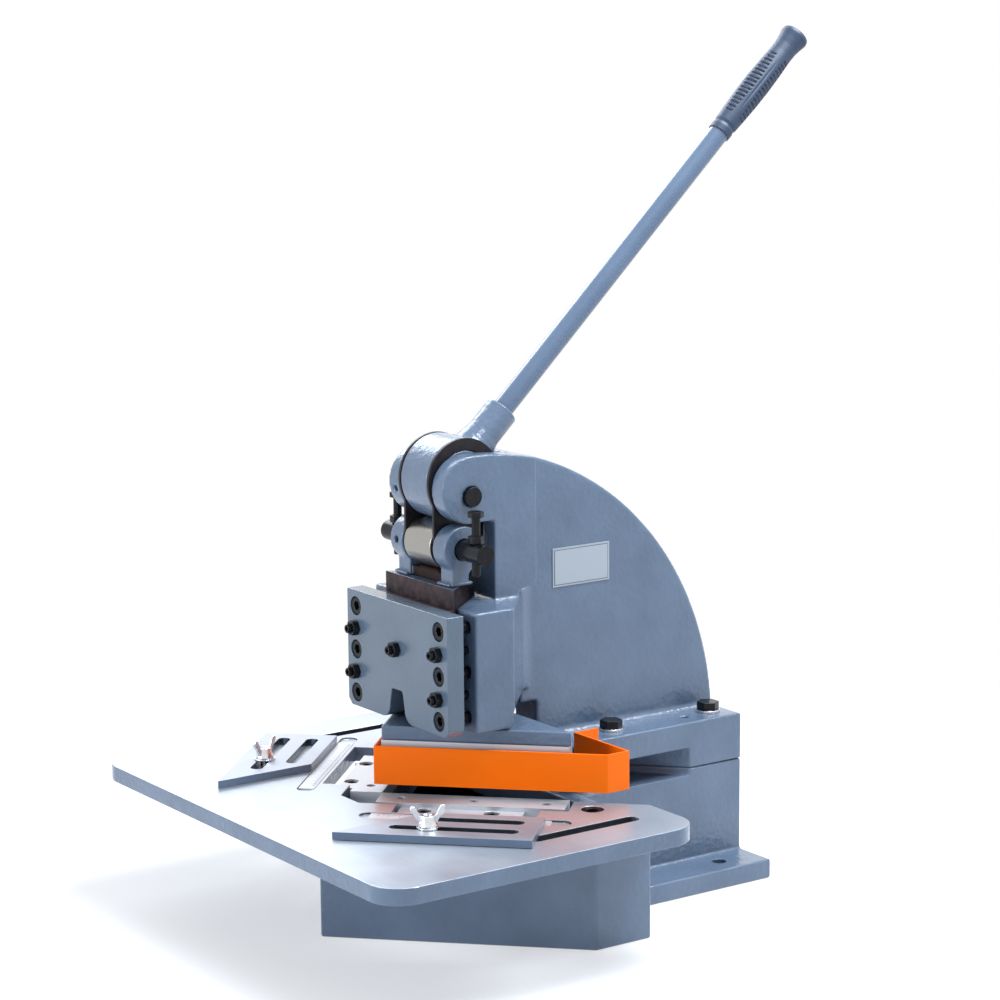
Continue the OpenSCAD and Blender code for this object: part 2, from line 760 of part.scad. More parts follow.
// Notch at the bottom of the cover and gib plates, flared by two round corners
notch_w = 19;
notch_h = 29;
notch_spread = 2.5;
notch_r = 3;
notch_flare_r = 13;
module notch_outline() for (s = [0, 1]) mirror([s, 0]) {
    top = notch_w * half - notch_r;
    foot = notch_w * half + notch_spread + notch_flare_r;
    polygon([[-over, -over], [foot, -over],
        for (a = [270:-15:180]) [foot + notch_flare_r * cos(a), notch_flare_r + notch_flare_r * sin(a)],
        for (a = [0:15:90]) [top + notch_r * cos(a), notch_h - notch_r + notch_r * sin(a)],
        [-over, notch_h]]);
}

module cover_screws() color("dimgray") both_sides() for (z = cover_screw_zs)
    translate([cover_screw_x, cover_front_y + m10_head_depth, z]) rotate([90, 0, 0])
        cap_screw(m10, cover_t - m10_head_depth + cover_gap + cover_screw_in - over, m10_head_depth - over);

nut_flats = 13;
nut_h = 6.5;
screw_tail = 4;
module jack_screws() color("dimgray") both_sides() for (z = jack_zs)
    translate([cover_screw_x, cover_front_y - nut_h - screw_tail, z]) rotate([90, 0, 0])
        set_screw(m8, nut_h + screw_tail + cover_t + cover_gap);
module lock_nut(d) difference() {
    hex_prism(nut_flats, nut_h);
    translate([0, 0, -over]) cylinder(r = d * half + run_gap, h = nut_h + over * 2);
}
module jack_nuts() color("dimgray") both_sides() for (z = jack_zs)
    translate([cover_screw_x, cover_front_y, z]) rotate([90, 0, 0]) lock_nut(m8);
module gib_screw() color("dimgray") translate([0, cover_front_y - nut_h - screw_tail, gib_screw_z])
    rotate([90, 0, 0]) set_screw(m8, nut_h + screw_tail + cover_t);
module gib_nut() color("dimgray") translate([0, cover_front_y, gib_screw_z])
    rotate([90, 0, 0]) lock_nut(m8);

module gib_plate() color("darkkhaki") difference() {
    translate([-gib_w * half, cover_back_y, cover_z + over])
        cube([gib_w, gib_t, cover_h - over * 2]);
    translate([0, cover_back_y + gib_t + over, cover_z]) rotate([90, 0, 0])
        linear_extrude(gib_t + over * 2) notch_outline();
}
gib_w = ram_w;

module pivot_pin() color("dimgray")
    cross_bar(pivot_d * half, head_w + pin_proud * 2, pivot_y, pivot_z);
pin_proud = 4;

module pivot_set_screw() color("dimgray")
    translate([-cheek_mid_x, nose_y - nose_r + set_screw_sink, pivot_z]) rotate([90, 0, 0])
        set_screw(m6, pivot_y - pivot_d * half - nose_y + nose_r - set_screw_sink - run_gap);
set_screw_sink = 4;

guard_z = table_z + guard_gap;
guard_stand = 7.2;
guard_corner_y = cut_y - guard_stand;
guard_side_x = 152;
guard_rear_y = -99;
guard_tab_x = 70.5;
guard_tab_y = -73;
boss_w = 26;
boss_h = 24;

// Bent strip seen from above, as a chain of straight runs
guard_path = [[guard_tab_x, guard_tab_y], [guard_tab_x, guard_rear_y], [guard_side_x, guard_rear_y],
    [guard_side_x, guard_corner_y + guard_side_x], [0, guard_corner_y]];
module guard() color("darkorange") difference() {
    translate([0, 0, guard_z]) linear_extrude(guard_h) both_sides()
        for (i = [0:len(guard_path) - 2]) strip_run(guard_path[i], guard_path[i + 1]);
    both_sides() translate([guard_tab_x - guard_t, guard_screw_y, foot_z - boss_h * half])
        rotate([0, 90, 0]) cylinder(r = m6 * half + seat_gap, h = guard_t * 2);
}
module strip_run(a, b) {
    run = b - a;
    translate(a) rotate(atan2(run[1], run[0])) translate([0, -guard_t * half]) square([norm(run), guard_t]);
    translate(a) circle(guard_t * half);
    translate(b) circle(guard_t * half);
}
guard_screw_y = -86;
module guard_screws() color("dimgray") both_sides()
    translate([guard_tab_x + guard_t * half, guard_screw_y, foot_z - boss_h * half]) rotate([0, 90, 0])
        cap_screw(m6, guard_tab_x - block_w * half + boss_screw_in - over, m6 * half);
boss_screw_in = 12;

module stop_stud(side) color("silver") on_wing(side)
    translate([stud_at[0], -stud_at[1], joint_z]) cylinder(d = stud_d, h = stud_l);
stud_l = 40;

// Hub: an eccentric drum with a spigot each side for the links, and the socket for the rod
spigot_r = 28;
module lever_hub() color("lightslategray") difference() {
    union() {
        cross_bar(drum_r, drum_w, drum_y, drum_z);
        cross_bar(spigot_r, slot_w - link_gap * 2, drum_y, drum_z);
        lever_axis() cylinder(d = socket_d, h = socket_l);
        lever_axis() translate([0, 0, drum_r - cone_in])
            cylinder(r1 = drum_w * half, r2 = socket_d * half, h = cone_h);
    }
    cross_bar(bush_r + run_gap, slot_w + over * 2, pivot_y, pivot_z);
    lever_axis() translate([0, 0, rod_start]) cylinder(r = rod_d * half + run_gap, h = socket_l);
}
socket_l = 82;
rod_start = 44;
bush_wall = 3;
bush_r = pivot_d * half + bush_wall;
cone_in = 12;
cone_h = 26;
module lever_axis() translate([0, drum_y, drum_z]) rotate([lever_angle - 90, 0, 0]) children();

module hub_bush() color("peru") difference() {
    cross_bar(bush_r, slot_w - link_gap * 2, pivot_y, pivot_z);
    cross_bar(pivot_d * half + run_gap, slot_w + over, pivot_y, pivot_z);
}
module lever_rod() color("lightslategray") lever_axis()
    translate([0, 0, rod_start + seat_gap]) cylinder(d = rod_d, h = lever_l - rod_start - grip_end);
grip_end = 8;

// Grip: a collar, a body that swells and draws in again, and a flared end
grip_height_share = [0, 0.05, 0.06, 0.075, 0.085, 0.2, 0.35, 0.5, 0.65, 0.8, 0.87, 0.93, 0.975, 1];
grip_radius_share = [0.39, 0.4, 0.365, 0.365, 0.4, 0.43, 0.455, 0.46, 0.44, 0.405, 0.41, 0.455, 0.5, 0.47];
module hand_grip() color("darkslategray") lever_axis() translate([0, 0, lever_l - grip_l])
    difference() {
        rotate_extrude() polygon([[0, 0],
            for (i = [0:len(grip_height_share) - 1])
                [grip_d * grip_radius_share[i], grip_l * grip_height_share[i]],
            [0, grip_l]]);
        translate([0, 0, -over]) cylinder(r = rod_d * half + run_gap, h = grip_l - grip_end + over * 2);
    }

// Side link: its eye rides on the spigot, its slot on the cross pin
link_proud = 0.4;
link_eye_r = drum_r + link_proud;
link_eye_mid = (link_eye_r + spigot_r) * half;
link_pin_r = roller_pin_d * half;
link_ease = 1.3;
link_foot_r = 19.2;
link_end_r = 15.5;
module side_link(side) color("sienna") {
    x = side * (drum_w + link_t) * half + side * link_gap;
    translate([x, 0, 0]) side_extrude(link_t) difference() {
        union() {
            translate([drum_y, drum_z]) circle(link_eye_r);
            translate([roller_y - link_foot_r + blend_bite, roller_z])
                square([drum_y - roller_y + link_foot_r - blend_bite, drum_z - roller_z - link_eye_mid * half]);
            polygon([[drum_y, drum_z - link_eye_mid], [roller_y, roller_z],
                [roller_y, roller_z] + (link_foot_r - blend_bite) * link_tangent,
                [drum_y, drum_z] + (link_eye_r - blend_bite) * link_tangent]);
            translate([roller_y, roller_z]) {
                circle(link_foot_r);
                translate(link_slot) circle(link_end_r);
            }
        }
        translate([drum_y, drum_z]) circle(spigot_r + run_gap);
        translate([roller_y, roller_z]) rotate(atan2(link_slot[1], link_slot[0])) {
            r = link_pin_r + link_ease;
            for (t = [0, norm(link_slot)]) translate([t, 0]) circle(r);
            translate([0, -r]) square([norm(link_slot), r * 2]);
        }
    }
}
link_side_angle = atan2(roller_z - drum_z, roller_y - drum_y) + acos((link_eye_r - link_foot_r) / link_l);
link_tangent = [cos(link_side_angle), sin(link_side_angle)];

// V shape of the punch, drawn in from the cutting edges
v_front_y = cut_y + punch_gap * diag;
v_rear_y = -142;
wedge_lift = 12;
wedge_z = upper_blade_z + wedge_lift;
module v_outline(inset) {
    front = v_front_y + inset * diag;
    polygon([[0, front], [v_rear_y - front, v_rear_y], [front - v_rear_y, v_rear_y]]);
}
module ram_block() color("sienna") difference() {
    translate([0, 0, v_top_z]) linear_extrude(ram_h) ram_outline(0, ram_front_y, ram_rear_y);
    for (x = holder_screw_xs, y = holder_screw_ys)
        translate([x, y, v_top_z - over]) cylinder(r = m8 * half + bore_gap, h = holder_screw_in + over);
}
holder_screw_xs = [-24, 24];
holder_screw_share = 0.16;
holder_screw_ys = [for (s = [-1, 1]) (ram_front_y + ram_rear_y) * half + s * ram_d * holder_screw_share];
holder_screw_in = 20;

// Two ears welded on the ram, each with a neck that blends into its round eye, and a low bridge
// between them
module clevis_ears() color("lightslategray") difference() {
    union() {
        translate([-ear_mid_x, ear_neck_y[0] + bridge_back, ram_top_z])
            cube([ear_mid_x * 2, ear_neck_y[1] - ear_neck_y[0] - bridge_back * 2, bridge_h]);
        both_sides() translate([ear_mid_x, 0, 0]) side_extrude(ear_out - ear_in) ear_outline();
    }
    cross_bar(roller_pin_d * half + run_gap, ram_w, roller_y, roller_z);
    translate([-ear_mid_x, roller_y - ear_r - over, roller_z]) rotate([-90, 0, 0])
        cylinder(r = m6 * half + bore_gap, h = ear_r + over);
}
module ear_outline() {
    translate([roller_y, roller_z]) circle(ear_r);
    translate([ear_neck_y[0], ram_top_z]) square([ear_neck_y[1] - ear_neck_y[0], roller_z - ram_top_z]);
    ear_blend(ear_neck_y[0], -1);
    ear_blend(ear_neck_y[1], 1);
    polygon([[ear_neck_y[0] - ear_weld, ram_top_z], [ear_neck_y[0], ram_top_z + ear_weld],
        [ear_neck_y[1], ram_top_z + ear_weld], [ear_neck_y[1] + ear_weld, ram_top_z]]);
}
ear_neck_y = [-216.5, -198.5];
bridge_back = 3;
bridge_h = 9;
ear_weld = 2.5;
ear_blend_r = 9;
module ear_blend(edge, s) {
    y = edge + s * ear_blend_r;
    z = roller_z - sqrt((ear_r + ear_blend_r) * (ear_r + ear_blend_r) - (y - roller_y) * (y - roller_y));
    difference() {
        polygon([[roller_y, roller_z], [y, z], [edge - s, z]]);
        translate([y, z]) circle(ear_blend_r + blend_bite);
    }
}

// Punch holder: a triangular plate with a V block under it that backs the upper blades
module punch_holder() color("lightslategray") difference() {
    union() {
        translate([0, 0, v_bottom_z]) linear_extrude(v_foot_t) v_outline(0);
        translate([0, 0, wedge_z]) linear_extrude(v_bottom_z - wedge_z + over)
            v_outline(upper_blade_t + seat_gap);
    }
    for (side = [-1, 1]) on_wing(side) for (t = upper_screw_ts)
        translate([t, over, upper_screw_z]) rotate([-90, 0, 0])
            cylinder(r = m8 * half + bore_gap, h = upper_blade_t + upper_screw_in);
    for (x = holder_screw_xs, y = holder_screw_ys)
        translate([x, y, 0]) {
            translate([0, 0, wedge_z - over])
                cylinder(r = m8 * half + seat_gap, h = v_top_z - wedge_z + over * 2);
            translate([0, 0, wedge_z - over]) cylinder(d = upper_head_bore, h = holder_head_depth + over);
        }
}
holder_head_depth = 16;
holder_screw_l = v_top_z - wedge_z - holder_head_depth + holder_screw_in - over;
module punch_holder_screws() color("dimgray") for (x = holder_screw_xs, y = holder_screw_ys)
    translate([x, y, wedge_z + holder_head_depth]) rotate([180, 0, 0]) cap_screw(m8, holder_screw_l, m8);

ear_mid_x = (ear_in + ear_out) * half;
upper_screw_ts = [46, 88, 130];
upper_screw_drop = 14;
upper_screw_z = v_bottom_z - upper_screw_drop;
upper_screw_in = 18;

// Upper blade: its lower edge rises from the corner to the end
module upper_blade(side) color("lightgray") {
    end = blade_end;
    start = side > 0 ? 0 : upper_blade_t + seat_gap;
    difference() {
        on_wing(side) translate([0, punch_gap, 0]) translate([start, 0, v_bottom_z - seat_gap * half])
            rotate([90, 0, 0]) translate([0, 0, -upper_blade_t]) linear_extrude(upper_blade_t)
                polygon([[0, 0], [end - start, 0], [end - start, -upper_blade_h + shear_rise],
                    [0, -upper_blade_h]]);
        on_wing(side) for (t = upper_screw_ts)
            translate([t, punch_gap - over, upper_screw_z]) rotate([-90, 0, 0]) {
                cylinder(r = m8 * half + seat_gap, h = upper_blade_t + over * 2);
                cylinder(d = upper_head_bore, h = upper_head_depth + over);
            }
    }
}
upper_head_bore = 14.4;
upper_head_depth = 8.5;
module upper_blade_screws() color("dimgray") for (side = [-1, 1]) on_wing(side) for (t = upper_screw_ts)
    translate([t, punch_gap + upper_head_depth, upper_screw_z]) rotate([90, 0, 0])
        cap_screw(m8, upper_blade_t - upper_head_depth + upper_screw_in - over, upper_head_depth - over);

module roller_pin() color("dimgray") difference() {
    cross_bar(roller_pin_d * half, roller_pin_l, roller_y, roller_z);
    both_sides() translate([stop_bolt_x, roller_y, roller_z - roller_pin_d])
        cylinder(r = m8 * half + bore_gap, h = roller_pin_d * 2);
}
stop_bolt_out = 19.7;
stop_bolt_x = ear_out + stop_bolt_out;
module roller_pin_set_screw() color("dimgray")
    translate([-ear_mid_x, roller_y - ear_r + pin_screw_sink, roller_z]) rotate([90, 0, 0])
        set_screw(m6, ear_r - pin_screw_sink - roller_pin_d * half - run_gap);
pin_screw_sink = 3;
stop_bolt_lift = 33;
stop_bolt_l = 54;
stop_bolt_head_h = 5.3;
module stop_bolts() color("dimgray") both_sides()
    translate([stop_bolt_x, roller_y, roller_z + stop_bolt_lift]) {
        hex_prism(nut_flats, stop_bolt_head_h);
        translate([0, 0, -stop_bolt_l]) cylinder(d = m8, h = stop_bolt_l + over);
    }
module stop_bolt_nuts() color("dimgray") both_sides()
    translate([stop_bolt_x, roller_y, roller_z + roller_pin_d * half]) lock_nut(m8);

module roller() color("silver") difference() {
    cross_bar(roller_r, drum_w, roller_y, roller_z);
    cross_bar(roller_pin_d * half + run_gap, drum_w + over * 2, roller_y, roller_z);
}

stop_cut_x = 100;
stop_end = 165.5;
module stop(side) color("gainsboro") translate([0, 0, stop_z]) difference() {
    intersection() {
        on_wing(side) wing_bar(-stop_end, stop_end, stop_in, stop_in + stop_w, 0, stop_t);
        translate([side > 0 ? stop_cut_x : -stop_cut_x - table_w, table_front_y * 2, 0])
            cube([table_w, table_w * 2, stop_t]);
    }
    on_wing(side) for (s = [rear_slot, front_slot])
        wing_slot(s[0], s[1], s[2], stop_slot_w, -over, stop_t + over * 2);
}

module stop_washer(side) color("silver") on_wing(side)
    translate([stud_at[0], -stud_at[1], stop_z + stop_t + stop_lift]) difference() {
        cylinder(r = stop_washer_r, h = stop_washer_t);
        translate([0, 0, -over]) cylinder(r = stud_d * half + bore_gap, h = stop_washer_t + over * 2);
    }
stop_washer_r = 10;
stop_washer_t = 1.8;

// Wing nut: a tapered boss and two wings that lean outwards
wing_boss_r = [8.5, 6.5];
wing_boss_h = 9;
wing_span = 17;
wing_h = 22.5;
wing_t = 3.6;
wing_turn = 20;
wing_share = [[0.3, 0.09], [0.41, 0.04], [0.7, 0.36], [1, 0.89], [0.94, 1], [0.76, 0.98], [0.47, 0.49],
    [0.3, 0.36]];
module wing_nut(side) color("silver") on_wing(side)
    translate([stud_at[0], -stud_at[1], stop_z + stop_t + stop_lift * 2 + stop_washer_t]) difference() {
        union() {
            cylinder(r1 = wing_boss_r[0], r2 = wing_boss_r[1], h = wing_boss_h);
            rotate(wing_turn) rotate([90, 0, 0]) translate([0, 0, -wing_t * half]) linear_extrude(wing_t)
                for (s = [0, 1]) mirror([s, 0])
                    polygon([for (p = wing_share) [p[0] * wing_span, p[1] * wing_h]]);
        }
        translate([0, 0, -over]) cylinder(r = stud_d * half + bore_gap, h = wing_h + over);
    }

base_casting();
frame_casting();
frame_bolts();
frame_washers();
locating_pins();
work_table();
table_screws();
scale_strip(-1);  // left_scale_strip
scale_strip(1);  // right_scale_strip
die_holder(-1);  // left_die_holder
die_holder(1);  // right_die_holder
lower_blade(-1);  // left_lower_blade
lower_blade(1);  // right_lower_blade
blade_screws();
die_clamp_screws();
die_adjusting_screws();
cover_plate();
cover_screws();
jack_screws();
jack_nuts();
gib_plate();
gib_screw();
gib_nut();
pivot_pin();
pivot_set_screw();
guard();
guard_screws();
stop_stud(-1);  // left_stop_stud
stop_stud(1);  // right_stop_stud
lever_hub();
hub_bush();
lever_rod();
hand_grip();
side_link(-1);  // left_side_link
side_link(1);  // right_side_link
ram_block();
clevis_ears();
punch_holder();
punch_holder_screws();
upper_blade(-1);  // left_upper_blade
upper_blade(1);  // right_upper_blade
upper_blade_screws();
roller_pin();
roller_pin_set_screw();
stop_bolts();
stop_bolt_nuts();
roller();
stop(-1);  // left_stop
stop(1);  // right_stop
stop_washer(-1);  // left_stop_washer
stop_washer(1);  // right_stop_washer
wing_nut(-1);  // left_wing_nut
wing_nut(1);  // right_wing_nut
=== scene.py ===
import bmesh
import bpy
import json
import math
from mathutils import Matrix, Vector
from mathutils.bvhtree import BVHTree


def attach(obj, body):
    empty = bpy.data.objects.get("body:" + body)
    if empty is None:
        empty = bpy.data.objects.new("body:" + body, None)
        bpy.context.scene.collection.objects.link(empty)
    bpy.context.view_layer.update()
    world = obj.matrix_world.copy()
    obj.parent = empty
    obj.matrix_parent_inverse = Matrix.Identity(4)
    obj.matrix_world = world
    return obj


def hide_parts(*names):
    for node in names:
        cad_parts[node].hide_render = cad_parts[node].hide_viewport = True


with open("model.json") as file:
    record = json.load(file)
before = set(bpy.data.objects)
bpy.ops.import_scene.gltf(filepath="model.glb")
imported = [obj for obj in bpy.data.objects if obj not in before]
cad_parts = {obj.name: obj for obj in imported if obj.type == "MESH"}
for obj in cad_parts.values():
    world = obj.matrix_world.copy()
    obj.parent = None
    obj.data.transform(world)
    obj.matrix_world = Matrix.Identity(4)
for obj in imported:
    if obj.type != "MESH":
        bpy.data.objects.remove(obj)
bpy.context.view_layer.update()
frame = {"nodes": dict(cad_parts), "record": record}

# Camera and studio. The notcher stands on a pale floor in a white room, seen from its front
# right with a long lens, under a strong broad lamp above and weaker ones in front, at its left
# and behind it.
mm = 0.001
target = Vector((0.0, -0.1325, 0.3831))
back = Vector((0.8083, -0.5612, 0.1781)).normalized()
camera_distance = 2.7
camera_roll = math.radians(-0.49)
lens_mm = 104.67
lamp_aim = Vector((0, -0.1, 0.25))
floor_half = 4.0
lamps = (("top_lamp", (0.6, 0.6, 2.3), 1.3, 100),       # name, place and size in m, power in W
         ("left_lamp", (-1.7, 0.1, 1.7), 1.2, 26),
         ("back_lamp", (-2.0, 1.4, 1.1), 1.6, 1.5),
         ("front_lamp", (-0.3, -2.8, 0.9), 1.2, 44))


def link(obj):
    bpy.context.scene.collection.objects.link(obj)
    return obj


def place_camera():
    camera = link(bpy.data.objects.new("camera", bpy.data.cameras.new("camera")))
    camera.data.lens = lens_mm
    side = Vector((0, 0, 1)).cross(back).normalized()
    up = back.cross(side)
    x = math.cos(camera_roll) * side + math.sin(camera_roll) * up
    y = back.cross(x)
    turn = Matrix((x, y, back)).transposed().to_4x4()
    camera.matrix_world = Matrix.Translation(target + back * camera_distance) @ turn
    bpy.context.scene.camera = camera


def linear(code):
    """sRGB hex text to a linear colour"""
    parts = [int(code[i:i + 2], 16) / 255 for i in (1, 3, 5)]
    return tuple(c / 12.92 if c <= 0.04045 else ((c + 0.055) / 1.055) ** 2.4 for c in parts) + (1.0,)


def add(tree, kind, settings=None, **links):
    """Adds one node. A value that is a socket is linked, any other value is set."""
    node = tree.nodes.new(kind)
    for name, value in (settings or {}).items():
        setattr(node, name, value)
    for name, value in links.items():
        key = int(name[1:]) if name[0] == "i" and name[1:].isdigit() else name.replace("_", " ").strip()
        if isinstance(value, bpy.types.NodeSocket):
            tree.links.new(value, node.inputs[key])
        else:
            node.inputs[key].default_value = value
    return node


def new_material(name):
    material = bpy.data.materials.new(name)
    material.use_nodes = True
    material.node_tree.nodes.clear()
    return material, material.node_tree


def add_lamp(name, place, size, power):
    lamp = link(bpy.data.objects.new(name, bpy.data.lights.new(name, "AREA")))
    lamp.data.size = size
    lamp.data.energy = power
    lamp.data.color = linear("#eff6ff")[:3]
    lamp.location = place
    lamp.rotation_euler = (lamp_aim - Vector(place)).to_track_quat("-Z", "Y").to_euler()


def white_to_camera(tree, shader):
    """Shows plain white to the camera and in reflections, and the given shader to all other rays"""
    path = add(tree, "ShaderNodeLightPath")
    seen = add(tree, "ShaderNodeMath", {"operation": "MAXIMUM"}, i0=path.outputs["Is Camera Ray"],
               i1=path.outputs["Is Glossy Ray"])
    seen = add(tree, "ShaderNodeMath", {"operation": "MAXIMUM"}, i0=seen.outputs[0],
               i1=path.outputs["Is Transmission Ray"])
    white = add(tree, "ShaderNodeBackground", Color=linear("#ffffff"), Strength=1.0)
    return add(tree, "ShaderNodeMixShader", i0=seen.outputs[0], i1=shader.outputs[0],
               i2=white.outputs[0])


def build_studio():
    world = bpy.data.worlds.new("studio")
    bpy.context.scene.world = world
    world.use_nodes = True
    tree = world.node_tree
    tree.nodes.clear()
    ambient = add(tree, "ShaderNodeBackground", Color=linear("#e2ebf7"), Strength=0.48)
    mix = white_to_camera(tree, ambient)
    add(tree, "ShaderNodeOutputWorld", Surface=mix.outputs[0])
    for name, place, size, power in lamps:
        add_lamp(name, place, size, power)

    mesh = bpy.data.meshes.new("floor")
    corners = [(x * floor_half, y * floor_half, 0) for x, y in ((-1, -1), (1, -1), (1, 1), (-1, 1))]
    mesh.from_pydata(corners, [], [(0, 1, 2, 3)])
    floor = link(bpy.data.objects.new("floor", mesh))
    material, tree = new_material("pale_floor")
    paper = add(tree, "ShaderNodeBsdfDiffuse", Color=linear("#f4f5f7"))
    white = add(tree, "ShaderNodeEmission", Color=linear("#ffffff"), Strength=1.0)
    path = add(tree, "ShaderNodeLightPath")
    # Far from the object the floor fades into the white room, and near it keeps its soft shadow
    where = add(tree, "ShaderNodeTexCoord")
    far = add(tree, "ShaderNodeVectorMath", {"operation": "LENGTH"}, i0=where.outputs["Object"])
    fade = add(tree, "ShaderNodeMapRange", i0=far.outputs["Value"], i1=0.4, i2=0.9, i3=0.5, i4=1.0)
    seen = add(tree, "ShaderNodeMath", {"operation": "MAXIMUM"}, i0=path.outputs["Is Camera Ray"],
               i1=path.outputs["Is Glossy Ray"])
    share = add(tree, "ShaderNodeMath", {"operation": "MULTIPLY"}, i0=seen.outputs[0],
                i1=fade.outputs[0])
    mix = add(tree, "ShaderNodeMixShader", i0=share.outputs[0], i1=paper.outputs[0],
              i2=white.outputs[0])
    add(tree, "ShaderNodeOutputMaterial", Surface=mix.outputs[0])
    mesh.materials.append(material)
    bpy.context.scene.view_settings.view_transform = "Standard"


place_camera()
build_studio()

# Base casting and frame casting. Grey iron, sand cast in two pieces and bolted together, with
# rounded edges and small fillets, filled and sprayed with a grey-blue enamel.
bodies = frame["record"]["behaviour"]["bodies"]
body_of = {node: body for body, nodes in bodies.items() for node in nodes}
weld_gap = 0.00001
flat_angle = math.radians(1.0)


def clean_copy(node):
    """A merged copy of a node's mesh, with its flat faces whole"""
    mesh = frame["nodes"][node].data.copy()
    mesh.materials.clear()
    work = bmesh.new()
    work.from_mesh(mesh)
    bmesh.ops.remove_doubles(work, verts=work.verts, dist=weld_gap)
    bmesh.ops.dissolve_limit(work, angle_limit=flat_angle, verts=work.verts, edges=work.edges)
    for face in work.faces:
        face.smooth = True
        face.material_index = 0
    work.to_mesh(mesh)
    work.free()
    return mesh


def settle(piece, *nodes):
    """Puts a finished piece in the place of its nodes"""
    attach(piece, body_of[nodes[0]])
    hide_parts(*nodes)


def weigh_edges(mesh, width, small, angle):
    """Bevel weights: a drilled hole's rim gets the small radius, every other sharp edge the full one"""
    work = bmesh.new()
    work.from_mesh(mesh)
    sharp = {edge for edge in work.edges if edge.is_manifold and edge.calc_face_angle(0.0) > angle}
    at = {}
    for edge in sharp:
        for vertex in edge.verts:
            at.setdefault(vertex, []).append(edge)
    weights = [0.0] * len(work.edges)
    left = set(sharp)
    while left:
        chain, ends, todo = [], 0, [left.pop()]
        while todo:
            edge = todo.pop()
            chain.append(edge)
            for vertex in edge.verts:
                if len(at[vertex]) != 2:
                    ends += 1
                    continue
                for other in at[vertex]:
                    if other in left:
                        left.discard(other)
                        todo.append(other)
        rim = ends == 0 and sum(edge.calc_length() for edge in chain) < rim_limit
        for edge in chain:
            weights[edge.index] = small / width if rim else 1.0
    work.free()
    mesh.attributes.new("bevel_weight_edge", "FLOAT", "EDGE").data.foreach_set("value", weights)


rim_limit = 95 * mm


def rounded(node, material, width, segments=3, angle=32, small=None):
    """The node's own shape with its edges rounded, as a new piece in the node's place"""
    piece = link(bpy.data.objects.new(node + "_finished", clean_copy(node)))
    piece.data.materials.append(material)
    weigh_edges(piece.data, width, small or width, math.radians(angle))
    bevel = piece.modifiers.new("edges", "BEVEL")
    bevel.width = width
    bevel.segments = segments
    bevel.limit_method = "WEIGHT"
    bevel.use_clamp_overlap = False
    bevel.miter_outer = "MITER_ARC"
    normals = piece.modifiers.new("normals", "WEIGHTED_NORMAL")
    normals.keep_sharp = True
    settle(piece, node)
    return piece


def moulded(node, material, voxel, smoothing, keep):
    """The node's own shape as one skin with soft edges and inner corners, as a casting has.
    A share of its faces is kept."""
    piece = link(bpy.data.objects.new(node + "_finished", frame["nodes"][node].data.copy()))
    piece.data.materials.clear()
    piece.data.materials.append(material)
    remesh = piece.modifiers.new("skin", "REMESH")
    remesh.mode = "VOXEL"
    remesh.voxel_size = voxel
    remesh.use_smooth_shade = True
    smooth = piece.modifiers.new("soft", "SMOOTH")
    smooth.factor = 0.5
    smooth.iterations = smoothing
    thin = piece.modifiers.new("fewer_faces", "DECIMATE")
    thin.ratio = keep
    settle(piece, node)
    return piece


def enamel(name, base, light, grain_mm, bump, roughness):
    """Sprayed alkyd enamel over filled iron or steel: a soft sheen, a fine orange peel from the
    spray and slow waves from the casting and filler under it."""
    material, tree = new_material(name)
    where = add(tree, "ShaderNodeTexCoord").outputs["Object"]
    waves = add(tree, "ShaderNodeTexNoise", Vector=where, Scale=1 / (60 * mm), Detail=3.0)
    peel = add(tree, "ShaderNodeTexNoise", Vector=where, Scale=1 / (grain_mm * mm), Detail=4.0,
               Roughness=0.6)
    pits = add(tree, "ShaderNodeTexVoronoi", Vector=where, Scale=1 / (grain_mm * 2.2 * mm))
    tone = add(tree, "ShaderNodeMapRange", i0=waves.outputs[0], i1=0.3, i2=0.7, i3=0.0, i4=1.0)
    colour = add(tree, "ShaderNodeMix", {"data_type": "RGBA"}, i0=tone.outputs[0], i6=linear(base),
                 i7=linear(light))
    height = add(tree, "ShaderNodeMath", {"operation": "ADD"}, i0=peel.outputs[0], i1=pits.outputs[0])
    fine = add(tree, "ShaderNodeBump", Strength=bump, Distance=0.4 * mm, Height=height.outputs[0])
    slow = add(tree, "ShaderNodeBump", Strength=min(0.25, bump * 2), Distance=3 * mm,
               Height=waves.outputs[0], Normal=fine.outputs[0])
    rough = add(tree, "ShaderNodeMapRange", i0=peel.outputs[0], i1=0.3, i2=0.7, i3=roughness - 0.06,
                i4=roughness + 0.08)
    shader = add(tree, "ShaderNodeBsdfPrincipled", Base_Color=colour.outputs[2],
                 Roughness=rough.outputs[0], Normal=slow.outputs[0], Coat_Normal=slow.outputs[0],
                 IOR=1.5, Specular_IOR_Level=0.2, Coat_Weight=1.0, Coat_Roughness=0.07)
    add(tree, "ShaderNodeOutputMaterial", Surface=shader.outputs[0])
    return material


# Thick enamel over a cast skin: the eye sees soft glints broken by the orange peel
cast_enamel = enamel("grey_blue_enamel_on_cast_iron", "#516277", "#5c6e84", 2.6, 0.8, 0.45)
rounded("base_casting", cast_enamel, 2.5 * mm, small=0.6 * mm)
moulded("frame_casting", cast_enamel, 1.4 * mm, 5, 0.3)

# Cover plate. Flat steel plate, sawn and drilled, under a thinner coat of the same enamel, and
# screwed over the front of the ram's housing.
# Enamel on rolled plate: greyer and smoother than on the castings
plate_enamel = enamel("grey_blue_enamel_on_steel", "#50606f", "#586879", 1.2, 0.3, 0.45)
rounded("cover_plate", plate_enamel, 1.0 * mm, small=0.3 * mm)

# Work table and stops. Mild steel plate, ground bright on top in long strokes and then wiped
# with oil, while its sawn edges carry the enamel of the castings.


